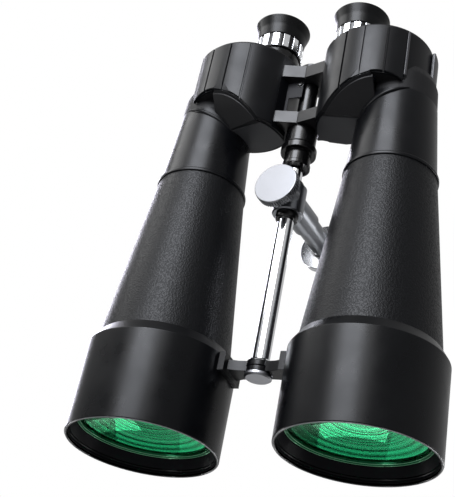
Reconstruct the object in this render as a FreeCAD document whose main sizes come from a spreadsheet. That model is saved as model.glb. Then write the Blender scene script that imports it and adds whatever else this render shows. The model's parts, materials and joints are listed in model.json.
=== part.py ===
import FreeCAD, Part
import math
import os

import Sketcher

# Astronomy binoculars, 20x80 class: two tapered barrels on a centre rod.
# The binoculars stand on their objective rims: z = 0 at the rims, +Z towards the eyepieces,
# the top of the instrument faces -Y and the tripod post points to +Y. All sizes in millimetres.

doc = FreeCAD.newDocument("astronomy_binoculars")
sheet = doc.addObject("Spreadsheet::Sheet", "Sizes")
TOLERANCE = 1e-9


class Dim:
    """A size with its value and the spreadsheet expression that drives it."""

    def __init__(self, value, text):
        self.value = float(value)
        self.text = text

    @staticmethod
    def of(other):
        return other if isinstance(other, Dim) else Dim(other, repr(other))

    def __add__(self, other):
        other = Dim.of(other)
        return Dim(self.value + other.value, "(%s + %s)" % (self.text, other.text))

    def __radd__(self, other):
        return Dim.of(other) + self

    def __sub__(self, other):
        other = Dim.of(other)
        return Dim(self.value - other.value, "(%s - %s)" % (self.text, other.text))

    def __rsub__(self, other):
        return Dim.of(other) - self

    def __mul__(self, other):
        other = Dim.of(other)
        return Dim(self.value * other.value, "(%s * %s)" % (self.text, other.text))

    def __rmul__(self, other):
        return Dim.of(other) * self

    def __truediv__(self, other):
        other = Dim.of(other)
        return Dim(self.value / other.value, "(%s / %s)" % (self.text, other.text))

    def __neg__(self):
        return Dim(-self.value, "(0 - %s)" % self.text)


ROWS = (
    # general layout
    ("axis_shift_y", -8.7, "hinge axis in Y, puts the middle of the whole at Y = 0"),
    ("barrel_offset_x", 67.9, "barrel axis to hinge axis"),
    ("eyepiece_offset_x", 31.1, "eyepiece axis to hinge axis"),
    ("eyepiece_offset_y", 1.0, "eyepiece axis behind the hinge axis"),
    # objective hood
    ("hood_radius", 48.0, "outside of the hood"),
    ("hood_wall", 1.6, "wall at the rim"),
    ("hood_shoulder_z", 58.2, "start of the chamfer"),
    ("hood_top_z", 65.7, "end of the chamfer"),
    ("hood_top_radius", 43.2, "end of the chamfer"),
    ("cell_radius", 45.8, "outside of the lens cell"),
    ("cell_front_z", 5.0, "front of the lens cell"),
    ("cell_rear_z", 31.0, "rear of the lens cell"),
    ("lens_radius", 41.5, "objective lens, 80 mm clear"),
    ("lens_clear_radius", 40.0, "clear aperture"),
    ("crown_front_z", 8.9, "front vertex of the crown lens"),
    ("crown_thickness", 13.0, "centre thickness of the crown lens"),
    ("crown_front_curve", 190.0, "radius of curvature"),
    ("crown_rear_curve", 150.0, "radius of curvature"),
    ("flint_front_curve", 152.0, "radius of curvature"),
    ("flint_rear_curve", 500.0, "radius of curvature"),
    ("flint_thickness", 4.5, "centre thickness of the flint lens"),
    ("air_gap", 0.15, "between crown and flint"),
    # barrel
    ("armour_front_radius", 42.9, "pebbled armour at the hood"),
    ("armour_rear_radius", 30.5, "pebbled armour at the neck"),
    ("armour_rear_z", 187.3, "end of the pebbled armour"),
    ("armour_wall", 1.2, "thickness of the pebbled armour"),
    ("barrel_wall", 1.8, "wall of the aluminium barrel"),
    ("neck_front_radius", 30.0, "smooth neck sleeve at its lip"),
    ("neck_rear_radius", 26.2, "smooth neck sleeve at the housing"),
    ("neck_lip_radius", 31.3, "rounded lip of the sleeve"),
    ("neck_wall", 1.0, "wall of the neck sleeve"),
    ("neck_rear_z", 244.0, "rear end of the neck sleeve"),
    ("tube_short", 4.8, "barrel tube ends this far before the neck sleeve"),
    # prism housing
    ("drum_x", 49.6, "housing drum axis"),
    ("drum_y", 2.0, "housing drum axis"),
    ("drum_radius", 38.0, "outside of the rubber on the drum"),
    ("grip_wall", 1.6, "rubber thickness"),
    ("shell_wall", 2.4, "cast housing wall"),
    ("drum_front_z", 253.0, "lower edge of the drum"),
    ("boss_front_z", 230.0, "front face of the boss"),
    ("shoulder_rear_z", 269.0, "rear end of the neck shoulder beside the drum"),
    ("cover_front_z", 294.5, "rear cover plate"),
    ("cover_rear_z", 297.5, "rear cover plate"),
    ("cover_radius", 37.4, "rear cover plate"),
    # prisms
    ("prism_half_length", 21.5, "half of the prism's long face"),
    ("prism_half_width", 9.5, "half of the prism's width"),
    ("prism_throw", 18.4, "sideways step of each light path"),
    ("shelf_front_z", 263.0, "prism shelf"),
    ("shelf_rear_z", 266.0, "prism shelf"),
    ("clip_wall", 0.6, "prism strap thickness"),
    # hinge
    ("axle_radius", 6.3, "hinge axle"),
    ("running_gap", 0.05, "radial clearance of running fits"),
    ("knuckle_radius", 11.0, "hinge knuckles"),
    ("level_gap", 0.4, "between two stacked knuckles"),
    ("front_lug_z", 235.0, "front hinge lug"),
    ("front_lug_height", 9.6, "front hinge lug"),
    ("rear_lug_z", 276.0, "rear hinge lug"),
    ("rear_lug_height", 10.4, "rear hinge lug"),
    ("axle_rear_z", 287.2, "rear end of the axle"),
    ("collar_radius", 10.8, "collar below the front lug"),
    ("flange_radius", 12.4, "flange of the collar"),
    ("collar_neck_radius", 9.2, "narrow front end of the collar"),
    ("collar_front_z", 204.0, "front end of the collar"),
    # centre rod and front bridge
    ("rod_radius", 5.44, "centre rod"),
    ("rod_front_z", 49.2, "front end of the rod"),
    ("rod_rear_z", 214.0, "rear end of the rod, inside the collar"),
    ("hub_radius", 8.2, "front bridge knuckles"),
    ("hub_front_z", 49.4, "front bridge knuckles"),
    ("hub_height", 6.8, "front bridge knuckles, both together"),
    ("cap_radius", 8.7, "rod end cap"),
    ("cap_front_z", 46.6, "rod end cap"),
    # tripod post
    ("carriage_z", 176.8, "height of the post on the rod"),
    ("bush_radius", 7.6, "nylon bush"),
    ("bush_half_height", 15.2, "nylon bush"),
    ("head_radius", 9.4, "post head, thick part"),
    ("head_boss_radius", 10.4, "boss round the bush"),
    ("head_boss_half", 11.2, "boss round the bush"),
    ("head_front_y", -12.6, "front face of the head, towards the knob"),
    ("head_rear_y", 28.0, "step to the thin part"),
    ("post_radius", 7.85, "post, thin part"),
    ("flange_front_y", 57.5, "foot flange"),
    ("flange_rear_y", 62.6, "foot flange"),
    ("foot_radius", 17.8, "foot flange"),
    ("pad_rear_y", 64.0, "rubber pad on the foot"),
    ("thread_radius", 3.175, "quarter inch tripod thread"),
    ("thread_depth", 11.0, "tripod thread"),
    ("knob_radius", 15.3, "clamp knob"),
    ("knob_front_y", -22.9, "face of the clamp knob"),
    ("knob_rear_y", -16.4, "back of the clamp knob"),
    ("stud_radius", 3.0, "threaded stud of the knob"),
    # eyepieces
    ("sleeve_radius", 16.9, "fixed focusing sleeve"),
    ("sleeve_spigot_radius", 15.4, "part of the sleeve inside the ring"),
    ("sleeve_top_z", 307.7, "shoulder under the focus ring"),
    ("spigot_top_z", 318.0, "end of the sleeve"),
    ("ring_radius", 17.9, "focus ring"),
    ("ring_front_z", 308.0, "focus ring"),
    ("ring_rear_z", 320.6, "focus ring"),
    ("ocular_radius", 13.5, "sliding eyepiece barrel"),
    ("ocular_bore", 12.0, "bore of the eyepiece barrel"),
    ("ocular_front_z", 285.0, "front end of the eyepiece barrel"),
    ("eyecup_front_z", 321.0, "eyecup"),
    ("eyecup_rear_z", 336.7, "eyecup rim"),
    ("eyecup_radius", 20.9, "eyecup rim"),
    ("eyecup_root_radius", 17.9, "eyecup at the focus ring"),
)
POST_TURN_DEG = -5.86

SIZES = {}
for row, (alias, value, note) in enumerate(ROWS, 1):
    sheet.set("A%d" % row, note)
    sheet.set("B%d" % row, repr(value))
    sheet.setAlias("B%d" % row, alias)
    SIZES[alias] = Dim(value, "Sizes." + alias)
doc.recompute()

NODES = []


def size(name):
    """Return the named size from the spreadsheet."""
    return SIZES[name]


def bind(item, **sizes):
    """Bind properties of a document object to sizes."""
    for prop, dim in sizes.items():
        item.setExpression(prop, Dim.of(dim).text)


def place(item, x=0.0, y=0.0, z=0.0, turn=None):
    """Place an object and bind each coordinate that a size drives."""
    point = [Dim.of(x), Dim.of(y), Dim.of(z)]
    rotation = turn if turn is not None else FreeCAD.Rotation()
    vector = FreeCAD.Vector(point[0].value, point[1].value, point[2].value)
    item.Placement = FreeCAD.Placement(vector, rotation)
    for axis, dim in zip("xyz", point):
        if "Sizes." in dim.text:
            item.setExpression(".Placement.Base." + axis, dim.text)
    return item


def node(item, label):
    """Name a finished sub-part and list it for export."""
    item.Label = label
    NODES.append(item)
    return item


def outline(body, role, points, name):
    """Draw a closed, fully dimensioned polygon on one of the body's own origin planes."""
    sketch = body.newObject("Sketcher::SketchObject", name)
    plane = [item for item in body.Origin.OriginFeatures if item.Role == role][0]
    sketch.AttachmentSupport = (plane, [""])
    sketch.MapMode = "FlatFace"
    corners = [(Dim.of(a), Dim.of(b)) for a, b in points]
    count = len(corners)
    for index in range(count):
        start = corners[index]
        end = corners[(index + 1) % count]
        line = Part.LineSegment(
            FreeCAD.Vector(start[0].value, start[1].value, 0),
            FreeCAD.Vector(end[0].value, end[1].value, 0))
        sketch.addGeometry(line, False)
    for index in range(count):
        sketch.addConstraint(Sketcher.Constraint("Coincident", index, 2, (index + 1) % count, 1))
    for index, corner in enumerate(corners):
        for kind, dim, axis in (("DistanceX", corner[0], -2), ("DistanceY", corner[1], -1)):
            if abs(dim.value) < TOLERANCE:
                sketch.addConstraint(Sketcher.Constraint("PointOnObject", index, 1, axis))
                continue
            if dim.value > 0:
                rule = Sketcher.Constraint(kind, -1, 1, index, 1, dim.value)
                text = dim.text
            else:
                rule = Sketcher.Constraint(kind, index, 1, -1, 1, -dim.value)
                text = (-dim).text
            number = sketch.addConstraint(rule)
            if "Sizes." in text:
                sketch.setExpression("Constraints[%d]" % number, text)
    return sketch


def new_body(name, x=0.0, y=0.0, z=0.0, turn=None):
    """Make an empty body at a place in the shared frame."""
    body = doc.addObject("PartDesign::Body", name)
    place(body, x, y, z, turn)
    return body


def turned(name, points, x=0.0, y=0.0, z=0.0, turn=None):
    """Turn a profile of (radius, height) points about the body's Z axis."""
    body = new_body(name, x, y, z, turn)
    sketch = outline(body, "XZ_Plane", points, name + "_profile")
    feature = body.newObject("PartDesign::Revolution", name + "_turned")
    feature.Profile = sketch
    feature.ReferenceAxis = (sketch, ["V_Axis"])
    feature.Angle = 360.0
    body.Tip = feature
    sketch.Visibility = False
    doc.recompute()
    return body


def plate(name, points, bottom, height, x=0.0, y=0.0, turn=None):
    """Raise a plate of the given (x, y) outline from height `bottom`."""
    body = new_body(name, x, y, bottom, turn)
    sketch = outline(body, "XY_Plane", points, name + "_outline")
    feature = body.newObject("PartDesign::Pad", name + "_pad")
    feature.Profile = sketch
    feature.Length = Dim.of(height).value
    if "Sizes." in Dim.of(height).text:
        feature.setExpression("Length", Dim.of(height).text)
    body.Tip = feature
    sketch.Visibility = False
    doc.recompute()
    return body


def cylinder(name, radius, height, x=0.0, y=0.0, z=0.0, turn=None):
    """Make a plain cylinder."""
    item = doc.addObject("Part::Cylinder", name)
    bind(item, Radius=radius, Height=height)
    return place(item, x, y, z, turn)


def ball(name, radius, x, y, z):
    """Make a ball, the tool for one lens surface."""
    item = doc.addObject("Part::Sphere", name)
    bind(item, Radius=radius)
    return place(item, x, y, z)


def block(name, length, width, height, x=0.0, y=0.0, z=0.0, turn=None):
    """Make a box from its low corner."""
    item = doc.addObject("Part::Box", name)
    bind(item, Length=length, Width=width, Height=height)
    return place(item, x, y, z, turn)


def fuse(name, items):
    """Join several shapes to one solid."""
    item = doc.addObject("Part::MultiFuse", name)
    item.Shapes = items
    item.Refine = True
    return item


def cut(name, base, tools):
    """Take one or more tools away from a base, one after the other."""
    item = base
    for number, tool in enumerate(tools):
        step = doc.addObject("Part::Cut", "%s_cut%d" % (name, number))
        step.Base = item
        step.Tool = tool
        step.Refine = number == len(tools) - 1
        item = step
    return item


def common(name, items):
    """Keep what several shapes share."""
    item = doc.addObject("Part::MultiCommon", name)
    item.Shapes = items
    return item


def group(name, items):
    """Keep several identical solids together in one node."""
    item = doc.addObject("Part::Compound", name)
    item.Links = items
    return item


AXIS_Y = size("axis_shift_y")


class Side:
    """One half of the binoculars: -1 is the half at -X and 1 the half at +X."""

    def __init__(self, word, sign):
        self.word = word
        self.sign = sign
        self.barrel_x = sign * size("barrel_offset_x")
        self.eye_x = sign * size("eyepiece_offset_x")
        self.eye_y = AXIS_Y + size("eyepiece_offset_y")
        self.drum_x = sign * size("drum_x")
        self.drum_y = AXIS_Y + size("drum_y")

    def name(self, text):
        return "%s_%s" % (self.word, text)

    def mirrored(self, points):
        return [(self.sign * a, b) for a, b in points]


def tube_radius():
    """Outside of the aluminium barrel under the armour, at both ends of its long taper."""
    low = size("armour_front_radius") - size("armour_wall")
    high = size("armour_rear_radius") - size("armour_wall")
    return low, high


def objective_group(side):
    """Hood, lens cell, retaining ring and the two objective lenses of one barrel."""
    x = side.barrel_x
    hood_r = size("hood_radius")
    cell_r = size("cell_radius")
    top_z = size("hood_top_z")
    tube_low, tube_high = tube_radius()
    hood = turned(side.name("objective_hood"), [
        (hood_r - size("hood_wall"), 0.0),
        (hood_r - 0.4, 0.0),
        (hood_r, 0.4),
        (hood_r, size("hood_shoulder_z")),
        (size("hood_top_radius"), top_z),
        (tube_low, top_z),
        (tube_low, size("hood_shoulder_z") - 6.0),
        (cell_r, size("hood_shoulder_z") - 10.0),
        (cell_r, size("cell_front_z") - 1.0),
        (hood_r - size("hood_wall"), size("cell_front_z") - 2.0),
    ], x, AXIS_Y)
    node(hood, side.name("objective_hood"))
    lens_r = size("lens_radius")
    front = size("cell_front_z")
    seat_z = size("crown_front_z") + 4.5
    rear_z = size("crown_front_z") + size("crown_thickness") + 3.2
    cell = turned(side.name("objective_cell"), [
        (lens_r + 2.6, front),
        (cell_r, front),
        (cell_r, size("cell_rear_z")),
        (size("lens_clear_radius"), size("cell_rear_z")),
        (size("lens_clear_radius"), rear_z),
        (lens_r, rear_z),
        (lens_r, seat_z - 0.9),
        (lens_r + 2.6, seat_z - 0.9),
    ], x, AXIS_Y)
    node(cell, side.name("objective_cell"))
    ring = turned(side.name("retaining_ring"), [
        (lens_r + 2.1, front + 0.5),
        (lens_r + 2.6, front + 0.5),
        (lens_r + 2.6, seat_z - 0.9),
        (lens_r - 0.3, seat_z - 0.9),
    ], x, AXIS_Y)
    node(ring, side.name("retaining_ring"))
    rear_vertex = size("crown_front_z") + size("crown_thickness")
    crown_bar = cylinder(side.name("crown_bar"), lens_r, size("crown_thickness"), x, AXIS_Y,
                         size("crown_front_z"))
    crown_front = ball(side.name("crown_front"), size("crown_front_curve"), x, AXIS_Y,
                       size("crown_front_z") + size("crown_front_curve"))
    crown_rear = ball(side.name("crown_rear"), size("crown_rear_curve"), x, AXIS_Y,
                      rear_vertex - size("crown_rear_curve"))
    crown = common(side.name("crown_lens"), [crown_bar, crown_front, crown_rear])
    node(crown, side.name("crown_lens"))
    flint_vertex = rear_vertex + size("air_gap")
    flint_rear = flint_vertex + size("flint_thickness")
    flint_bar = cylinder(side.name("flint_bar"), lens_r, 12.0, x, AXIS_Y, flint_rear - 12.0)
    flint_back = ball(side.name("flint_back"), size("flint_rear_curve"), x, AXIS_Y,
                      flint_rear - size("flint_rear_curve"))
    flint_blank = common(side.name("flint_blank"), [flint_bar, flint_back])
    flint_bowl = ball(side.name("flint_bowl"), size("flint_front_curve"), x, AXIS_Y,
                      flint_vertex - size("flint_front_curve"))
    flint = cut(side.name("flint_lens"), flint_blank, [flint_bowl])
    node(flint, side.name("flint_lens"))


def barrel_group(side):
    """Aluminium barrel, its pebbled armour and the smooth neck sleeve."""
    x = side.barrel_x
    top_z = size("hood_top_z")
    seam_z = size("armour_rear_z")
    neck_z = size("neck_rear_z")
    wall = size("barrel_wall")
    tube_low, tube_high = tube_radius()
    neck_low = size("neck_front_radius") - size("neck_wall")
    neck_high = size("neck_rear_radius") - size("neck_wall")
    tube = turned(side.name("barrel_tube"), [
        (tube_low - wall, size("hood_shoulder_z") - 6.0),
        (tube_low, size("hood_shoulder_z") - 6.0),
        (tube_low, top_z),
        (tube_high, seam_z),
        (neck_low, seam_z + 2.4),
        (neck_high, neck_z - size("tube_short")),
        (neck_high - wall, neck_z - size("tube_short")),
        (neck_low - wall, seam_z + 2.4),
        (tube_high - wall, seam_z),
        (tube_low - wall, top_z),
    ], x, AXIS_Y)
    node(tube, side.name("barrel_tube"))
    armour = turned(side.name("barrel_armour"), [
        (tube_low, top_z),
        (size("armour_front_radius"), top_z),
        (size("armour_rear_radius"), seam_z),
        (tube_high, seam_z),
    ], x, AXIS_Y)
    node(armour, side.name("barrel_armour"))
    sleeve = turned(side.name("neck_blank"), [
        (tube_high, seam_z),
        (size("neck_lip_radius") - 0.5, seam_z),
        (size("neck_lip_radius"), seam_z + 0.6),
        (size("neck_lip_radius"), seam_z + 1.6),
        (size("neck_front_radius"), seam_z + 2.6),
        (size("neck_rear_radius"), neck_z),
        (neck_high, neck_z),
        (neck_low, seam_z + 2.4),
    ], x, AXIS_Y)
    return sleeve


def belly(side, tag, lift):
    """Block under the plane that slopes from the boss's front face up to the drum's front edge."""
    normal = FreeCAD.Vector(-0.388 * side.sign, 1.016, 1.0)
    normal.normalize()
    turn = FreeCAD.Rotation(FreeCAD.Vector(0, 0, 1), normal)
    foot = FreeCAD.Vector(side.sign * 40.0, SIZES["axis_shift_y"].value - 20.2, 229.94)
    corner = foot + normal * lift + turn.multVec(FreeCAD.Vector(-80.0, -80.0, -60.0))
    return block(side.name("belly_" + tag), 160.0, 160.0, 60.0, corner.x, corner.y, corner.z, turn)


def boss_blank(side, tag, inset, lift, outline_points):
    """Part of the drum that reaches forward to the boss face, trimmed behind and below."""
    low = size("boss_front_z") + lift
    high = size("drum_front_z") - size("boss_front_z") + 1.0
    drum = cylinder(side.name("boss_drum_" + tag), size("drum_radius") - inset, high,
                    side.drum_x, side.drum_y, low)
    plan = plate(side.name("boss_plan_" + tag), side.mirrored(outline_points), low - 1.0, high + 2.0,
                 0.0, AXIS_Y)
    both = common(side.name("boss_common_" + tag), [drum, plan])
    return cut(side.name("boss_" + tag), both, [belly(side, tag, lift)])


def housing_solid(side, tag, inset, front_lift):
    """Outer or inner skin of the prism housing, `inset` inside the rubber's surface."""
    drum_r = size("drum_radius") - inset
    drum_z = size("drum_front_z") + front_lift
    drum = cylinder(side.name("drum_" + tag), drum_r, size("cover_front_z") - drum_z + front_lift,
                    side.drum_x, side.drum_y, drum_z)
    back = 10.5 - front_lift
    boss = boss_blank(side, tag, inset, front_lift, [
        (8.0, -45.0), (58.0, -45.0), (58.0, back), (30.0, back),
        (19.0 + 0.7 * front_lift, 6.5 - 0.7 * front_lift),
        (11.0 + front_lift, -2.0), (8.0, -2.0)])
    neck_r = size("neck_rear_radius")
    top = size("shoulder_rear_z")
    shoulder = turned(side.name("shoulder_" + tag), [
        (0.0, size("neck_rear_z") - 4.0 + front_lift),
        (neck_r - front_lift, size("neck_rear_z") - 4.0 + front_lift),
        (neck_r - 0.9 - front_lift, top - 7.0), (neck_r - 3.2 - front_lift, top - front_lift),
        (0.0, top - front_lift)], side.barrel_x, AXIS_Y)
    return fuse(side.name("skin_" + tag), [drum, boss, shoulder]), (drum, boss, shoulder)


def lug_plates(side):
    """Two hinge lugs that meet the other half's lugs at the middle, and their web."""
    own_low = side.sign < 0
    gap = size("level_gap")
    shapes = []
    for tag, low, high in (
            ("front", size("front_lug_z"), size("front_lug_height")),
            ("rear", size("rear_lug_z"), size("rear_lug_height"))):
        slab = plate(side.name(tag + "_lug_slab"), side.mirrored([
            (0.15, -12.4), (24.0, -18.4), (24.0, 11.0), (8.5, 9.5), (8.5, 2.0), (0.15, 2.0),
        ]), low, high, 0.0, AXIS_Y)
        half = (high - gap) / 2
        own_z = low if own_low else low + half + gap
        other_z = low + half if own_low else low - 1.0
        other_height = half + gap + 1.0
        knuckle = cylinder(side.name(tag + "_knuckle"), size("knuckle_radius"), half, 0.0, AXIS_Y, own_z)
        clear = cylinder(side.name(tag + "_clear"), size("knuckle_radius") + 0.4, other_height,
                         0.0, AXIS_Y, other_z)
        trimmed = cut(side.name(tag + "_lug_trimmed"), slab, [clear])
        shapes.append(fuse(side.name(tag + "_lug_joined"), [trimmed, knuckle]))
    web_low = block(side.name("lug_web"), 10.4, 9.0, 18.0, 11.6 if side.sign > 0 else -22.0, AXIS_Y - 4.5,
                    size("rear_lug_z") - 17.5)
    rib_x = 11.6 if side.sign > 0 else -22.6
    rib = block(side.name("lug_rib"), 11.0, 8.0, 44.0, rib_x, AXIS_Y - 8.0, size("front_lug_z") + 1.0)
    shapes += [web_low, rib]
    joined = fuse(side.name("lugs_joined"), shapes)
    bore = cylinder(side.name("lug_bore"), size("axle_radius") + size("running_gap"), 80.0, 0.0, AXIS_Y,
                    220.0)
    return joined, bore


def housing_group(side, sleeve):
    """Prism housing, neck sleeve trimmed to it, rubber, cover, screws, lugs and prisms."""
    x = side.barrel_x
    grip = size("grip_wall")
    wall = size("shell_wall")
    outer, (drum, boss, shoulder) = housing_solid(side, "outer", grip, 0.0)
    inner = housing_solid(side, "inner", grip + wall, 2.4)[0]
    neck_low = size("neck_front_radius") - size("neck_wall")
    neck_high = size("neck_rear_radius") - size("neck_wall")
    plug = turned(side.name("barrel_plug"), [
        (0.0, size("armour_rear_z") + 2.4), (neck_low, size("armour_rear_z") + 2.4),
        (neck_high, size("neck_rear_z")), (0.0, size("neck_rear_z")),
    ], x, AXIS_Y)
    light_bore = cylinder(side.name("light_bore"), neck_high - size("barrel_wall"), 16.0, x, AXIS_Y,
                          size("neck_rear_z") - 1.0)
    trimmed = cut(side.name("neck_sleeve"), sleeve, [outer])
    node(trimmed, side.name("neck_sleeve"))
    joined, bore = lug_plates(side)
    bored_lugs = cut(side.name("lugs_bored"), joined, [bore])
    shell = cut(side.name("prism_housing"), outer, [inner, plug, light_bore])
    node(shell, side.name("prism_housing"))
    seat = cylinder(side.name("lug_seat"), size("drum_radius"), 66.0, side.drum_x, side.drum_y,
                    size("boss_front_z") - 1.0)
    lugs = cut(side.name("hinge_lugs"), bored_lugs, [seat])
    node(lugs, side.name("hinge_lugs"))
    # rubber: the drum's wall, and its continuation down the inner front of the boss
    drum_z = size("drum_front_z")
    grip_drum = cylinder(side.name("grip_drum"), size("drum_radius"), size("cover_front_z") - drum_z,
                         side.drum_x, side.drum_y, drum_z)
    band = cut(side.name("grip_band"), grip_drum, [drum, shoulder])
    flap = boss_blank(side, "grip", 0.0, 0.6, [
        (8.0, -45.0), (57.0, -45.0), (57.0, -8.0), (14.0, -3.0), (8.0, -3.0)])
    skirt = cut(side.name("grip_skirt"), flap, [boss, drum])
    rubber = fuse(side.name("grip_armour"), [band, skirt])
    node(rubber, side.name("grip_armour"))
    cover_and_screws(side)
    prisms(side)


def cover_and_screws(side):
    """Rear cover plate with its four screws and the hole for the focusing sleeve."""
    low = size("cover_front_z")
    high = size("cover_rear_z")
    radius = size("cover_radius")
    disc = turned(side.name("cover_disc"), [
        (0.0, low), (radius, low), (radius, high - 1.4), (radius - 0.5, high - 0.4),
        (radius - 1.4, high), (0.0, high),
    ], side.drum_x, side.drum_y)
    tools = [cylinder(side.name("cover_eye_hole"), size("sleeve_spigot_radius"), 20.0,
                      side.eye_x, side.eye_y, low - 5.0)]
    screws = []
    for number, angle in enumerate((-125.0, -15.0, 15.0, 125.0)):
        spin = math.radians(angle)
        dx = side.sign * 31.5 * math.cos(spin)
        dy = 31.5 * math.sin(spin)
        tools.append(cylinder(side.name("cover_screw_hole%d" % number), 1.3, 20.0,
                              side.drum_x + dx, side.drum_y + dy, low - 5.0))
        screws.append(turned(side.name("cover_screw%d" % number), [
            (0.0, low), (1.3, low), (1.3, high), (2.5, high), (2.5, high + 0.8), (2.0, high + 1.2),
            (0.0, high + 1.2),
        ], side.drum_x + dx, side.drum_y + dy))
    cover = cut(side.name("rear_cover"), disc, tools)
    node(cover, side.name("rear_cover"))
    node(group(side.name("cover_screws"), screws), side.name("cover_screws"))


def prism(side, tag, x, y, angle, face_z, direction):
    """A right-angle prism whose long face lies at face_z; direction is where its ridge points."""
    half = size("prism_half_length")
    width = size("prism_half_width") * 2
    turn = FreeCAD.Rotation(FreeCAD.Vector(0, 0, 1), angle)
    body = doc.addObject("PartDesign::Body", side.name(tag))
    place(body, x, y, face_z, turn)
    sketch = outline(body, "XZ_Plane", [
        (-half, 0.0), (half, 0.0), (1.0, direction * (half - 1.0)), (-1.0, direction * (half - 1.0)),
    ], side.name(tag + "_profile"))
    pad = body.newObject("PartDesign::Pad", side.name(tag + "_pad"))
    pad.Profile = sketch
    pad.Length = width.value
    pad.setExpression("Length", width.text)
    pad.Midplane = True
    body.Tip = pad
    sketch.Visibility = False
    doc.recompute()
    node(body, side.name(tag))


def prisms(side):
    """Two Porro prisms, the shelf between them and the straps that hold them."""
    throw = size("prism_throw")
    mid_x = side.barrel_x - side.sign * throw
    rear_x = side.barrel_x - side.sign * throw / 2
    front_x = mid_x - side.sign * throw / 2
    mid_y = AXIS_Y - throw
    half_y = AXIS_Y - throw / 2
    rear_face = size("shelf_rear_z") + 0.3
    front_face = size("shelf_front_z") - 0.3
    prism(side, "rear_prism", rear_x, half_y, 45.0 * side.sign, rear_face, 1)
    prism(side, "front_prism", front_x, half_y, -45.0 * side.sign, front_face, -1)
    inner_r = size("drum_radius") - size("grip_wall") - size("shell_wall")
    disc = cylinder(side.name("shelf_disc"), inner_r, size("shelf_rear_z") - size("shelf_front_z"),
                    side.drum_x, side.drum_y, size("shelf_front_z"))
    holes = []
    for number, (hx, hy, radius) in enumerate((
            (side.barrel_x, AXIS_Y, 9.2), (mid_x, mid_y, 8.8), (side.eye_x, side.eye_y, 8.8))):
        holes.append(cylinder(side.name("shelf_hole%d" % number), radius, 20.0, hx, hy,
                              size("shelf_front_z") - 8.0))
    shelf = cut(side.name("prism_shelf"), disc, holes)
    node(shelf, side.name("prism_shelf"))
    straps = []
    reach = size("prism_half_width") + 0.4
    wall = size("clip_wall")
    rise = size("prism_half_length") - 1.0 + 0.35
    for tag, cx, angle, low, high, bar in (
            ("rear", rear_x, 45.0 * side.sign, size("shelf_rear_z"), rear_face + rise, 1),
            ("front", front_x, -45.0 * side.sign, front_face - rise, size("shelf_front_z"), -1)):
        top = high if bar > 0 else low - wall
        tall = (high + wall) - low if bar > 0 else high - (low - wall)
        base = low if bar > 0 else low - wall
        outer = new_body(side.name(tag + "_strap"), cx, half_y, base,
                         FreeCAD.Rotation(FreeCAD.Vector(0, 0, 1), angle))
        if bar > 0:
            points = [(-(reach + wall), 0.0), (-reach, 0.0), (-reach, tall - wall), (reach, tall - wall),
                      (reach, 0.0), (reach + wall, 0.0), (reach + wall, tall), (-(reach + wall), tall)]
        else:
            points = [(-(reach + wall), 0.0), (reach + wall, 0.0), (reach + wall, tall), (reach, tall),
                      (reach, wall), (-reach, wall), (-reach, tall), (-(reach + wall), tall)]
        sketch = outline(outer, "YZ_Plane", points, side.name(tag + "_strap_profile"))
        pad = outer.newObject("PartDesign::Pad", side.name(tag + "_strap_pad"))
        pad.Profile = sketch
        pad.Length = 6.0
        pad.Midplane = True
        outer.Tip = pad
        sketch.Visibility = False
        straps.append(outer)
    doc.recompute()
    node(group(side.name("prism_clips"), straps), side.name("prism_clips"))


def bridge_arm(side):
    """Front bridge arm: a flat bar from the hood to a knuckle on the rod."""
    own_low = side.sign < 0
    gap = size("level_gap")
    low = size("hub_front_z")
    high = size("hub_height")
    bar = plate(side.name("arm_bar"), side.mirrored([
        (2.0, -5.6), (12.0, -6.4), (24.0, -10.5), (24.0, 10.5), (12.0, 6.4), (2.0, 5.6),
    ]), low, high, 0.0, AXIS_Y)
    pad = block(side.name("arm_pad"), 9.0, 27.0, 12.4,
                17.6 if side.sign > 0 else -26.6, AXIS_Y - 13.5, low - 2.8)
    half = (high - gap) / 2
    own_z = low if own_low else low + half + gap
    other_z = low + half if own_low else low - 1.0
    knuckle = cylinder(side.name("arm_knuckle"), size("hub_radius"), half, 0.0, AXIS_Y, own_z)
    clear = cylinder(side.name("arm_clear"), size("hub_radius") + 0.4, half + gap + 1.0, 0.0, AXIS_Y, other_z)
    rough = fuse(side.name("arm_rough"), [cut(side.name("arm_trimmed"), bar, [clear]), knuckle, pad])
    bore = cylinder(side.name("arm_bore"), size("rod_radius") + size("running_gap"), 40.0, 0.0, AXIS_Y, 30.0)
    barrel = cylinder(side.name("arm_hood_tool"), size("hood_radius"), 90.0, side.barrel_x, AXIS_Y, 5.0)
    arm = cut(side.name("bridge_arm"), rough, [bore, barrel])
    node(arm, side.name("bridge_arm"))


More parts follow.
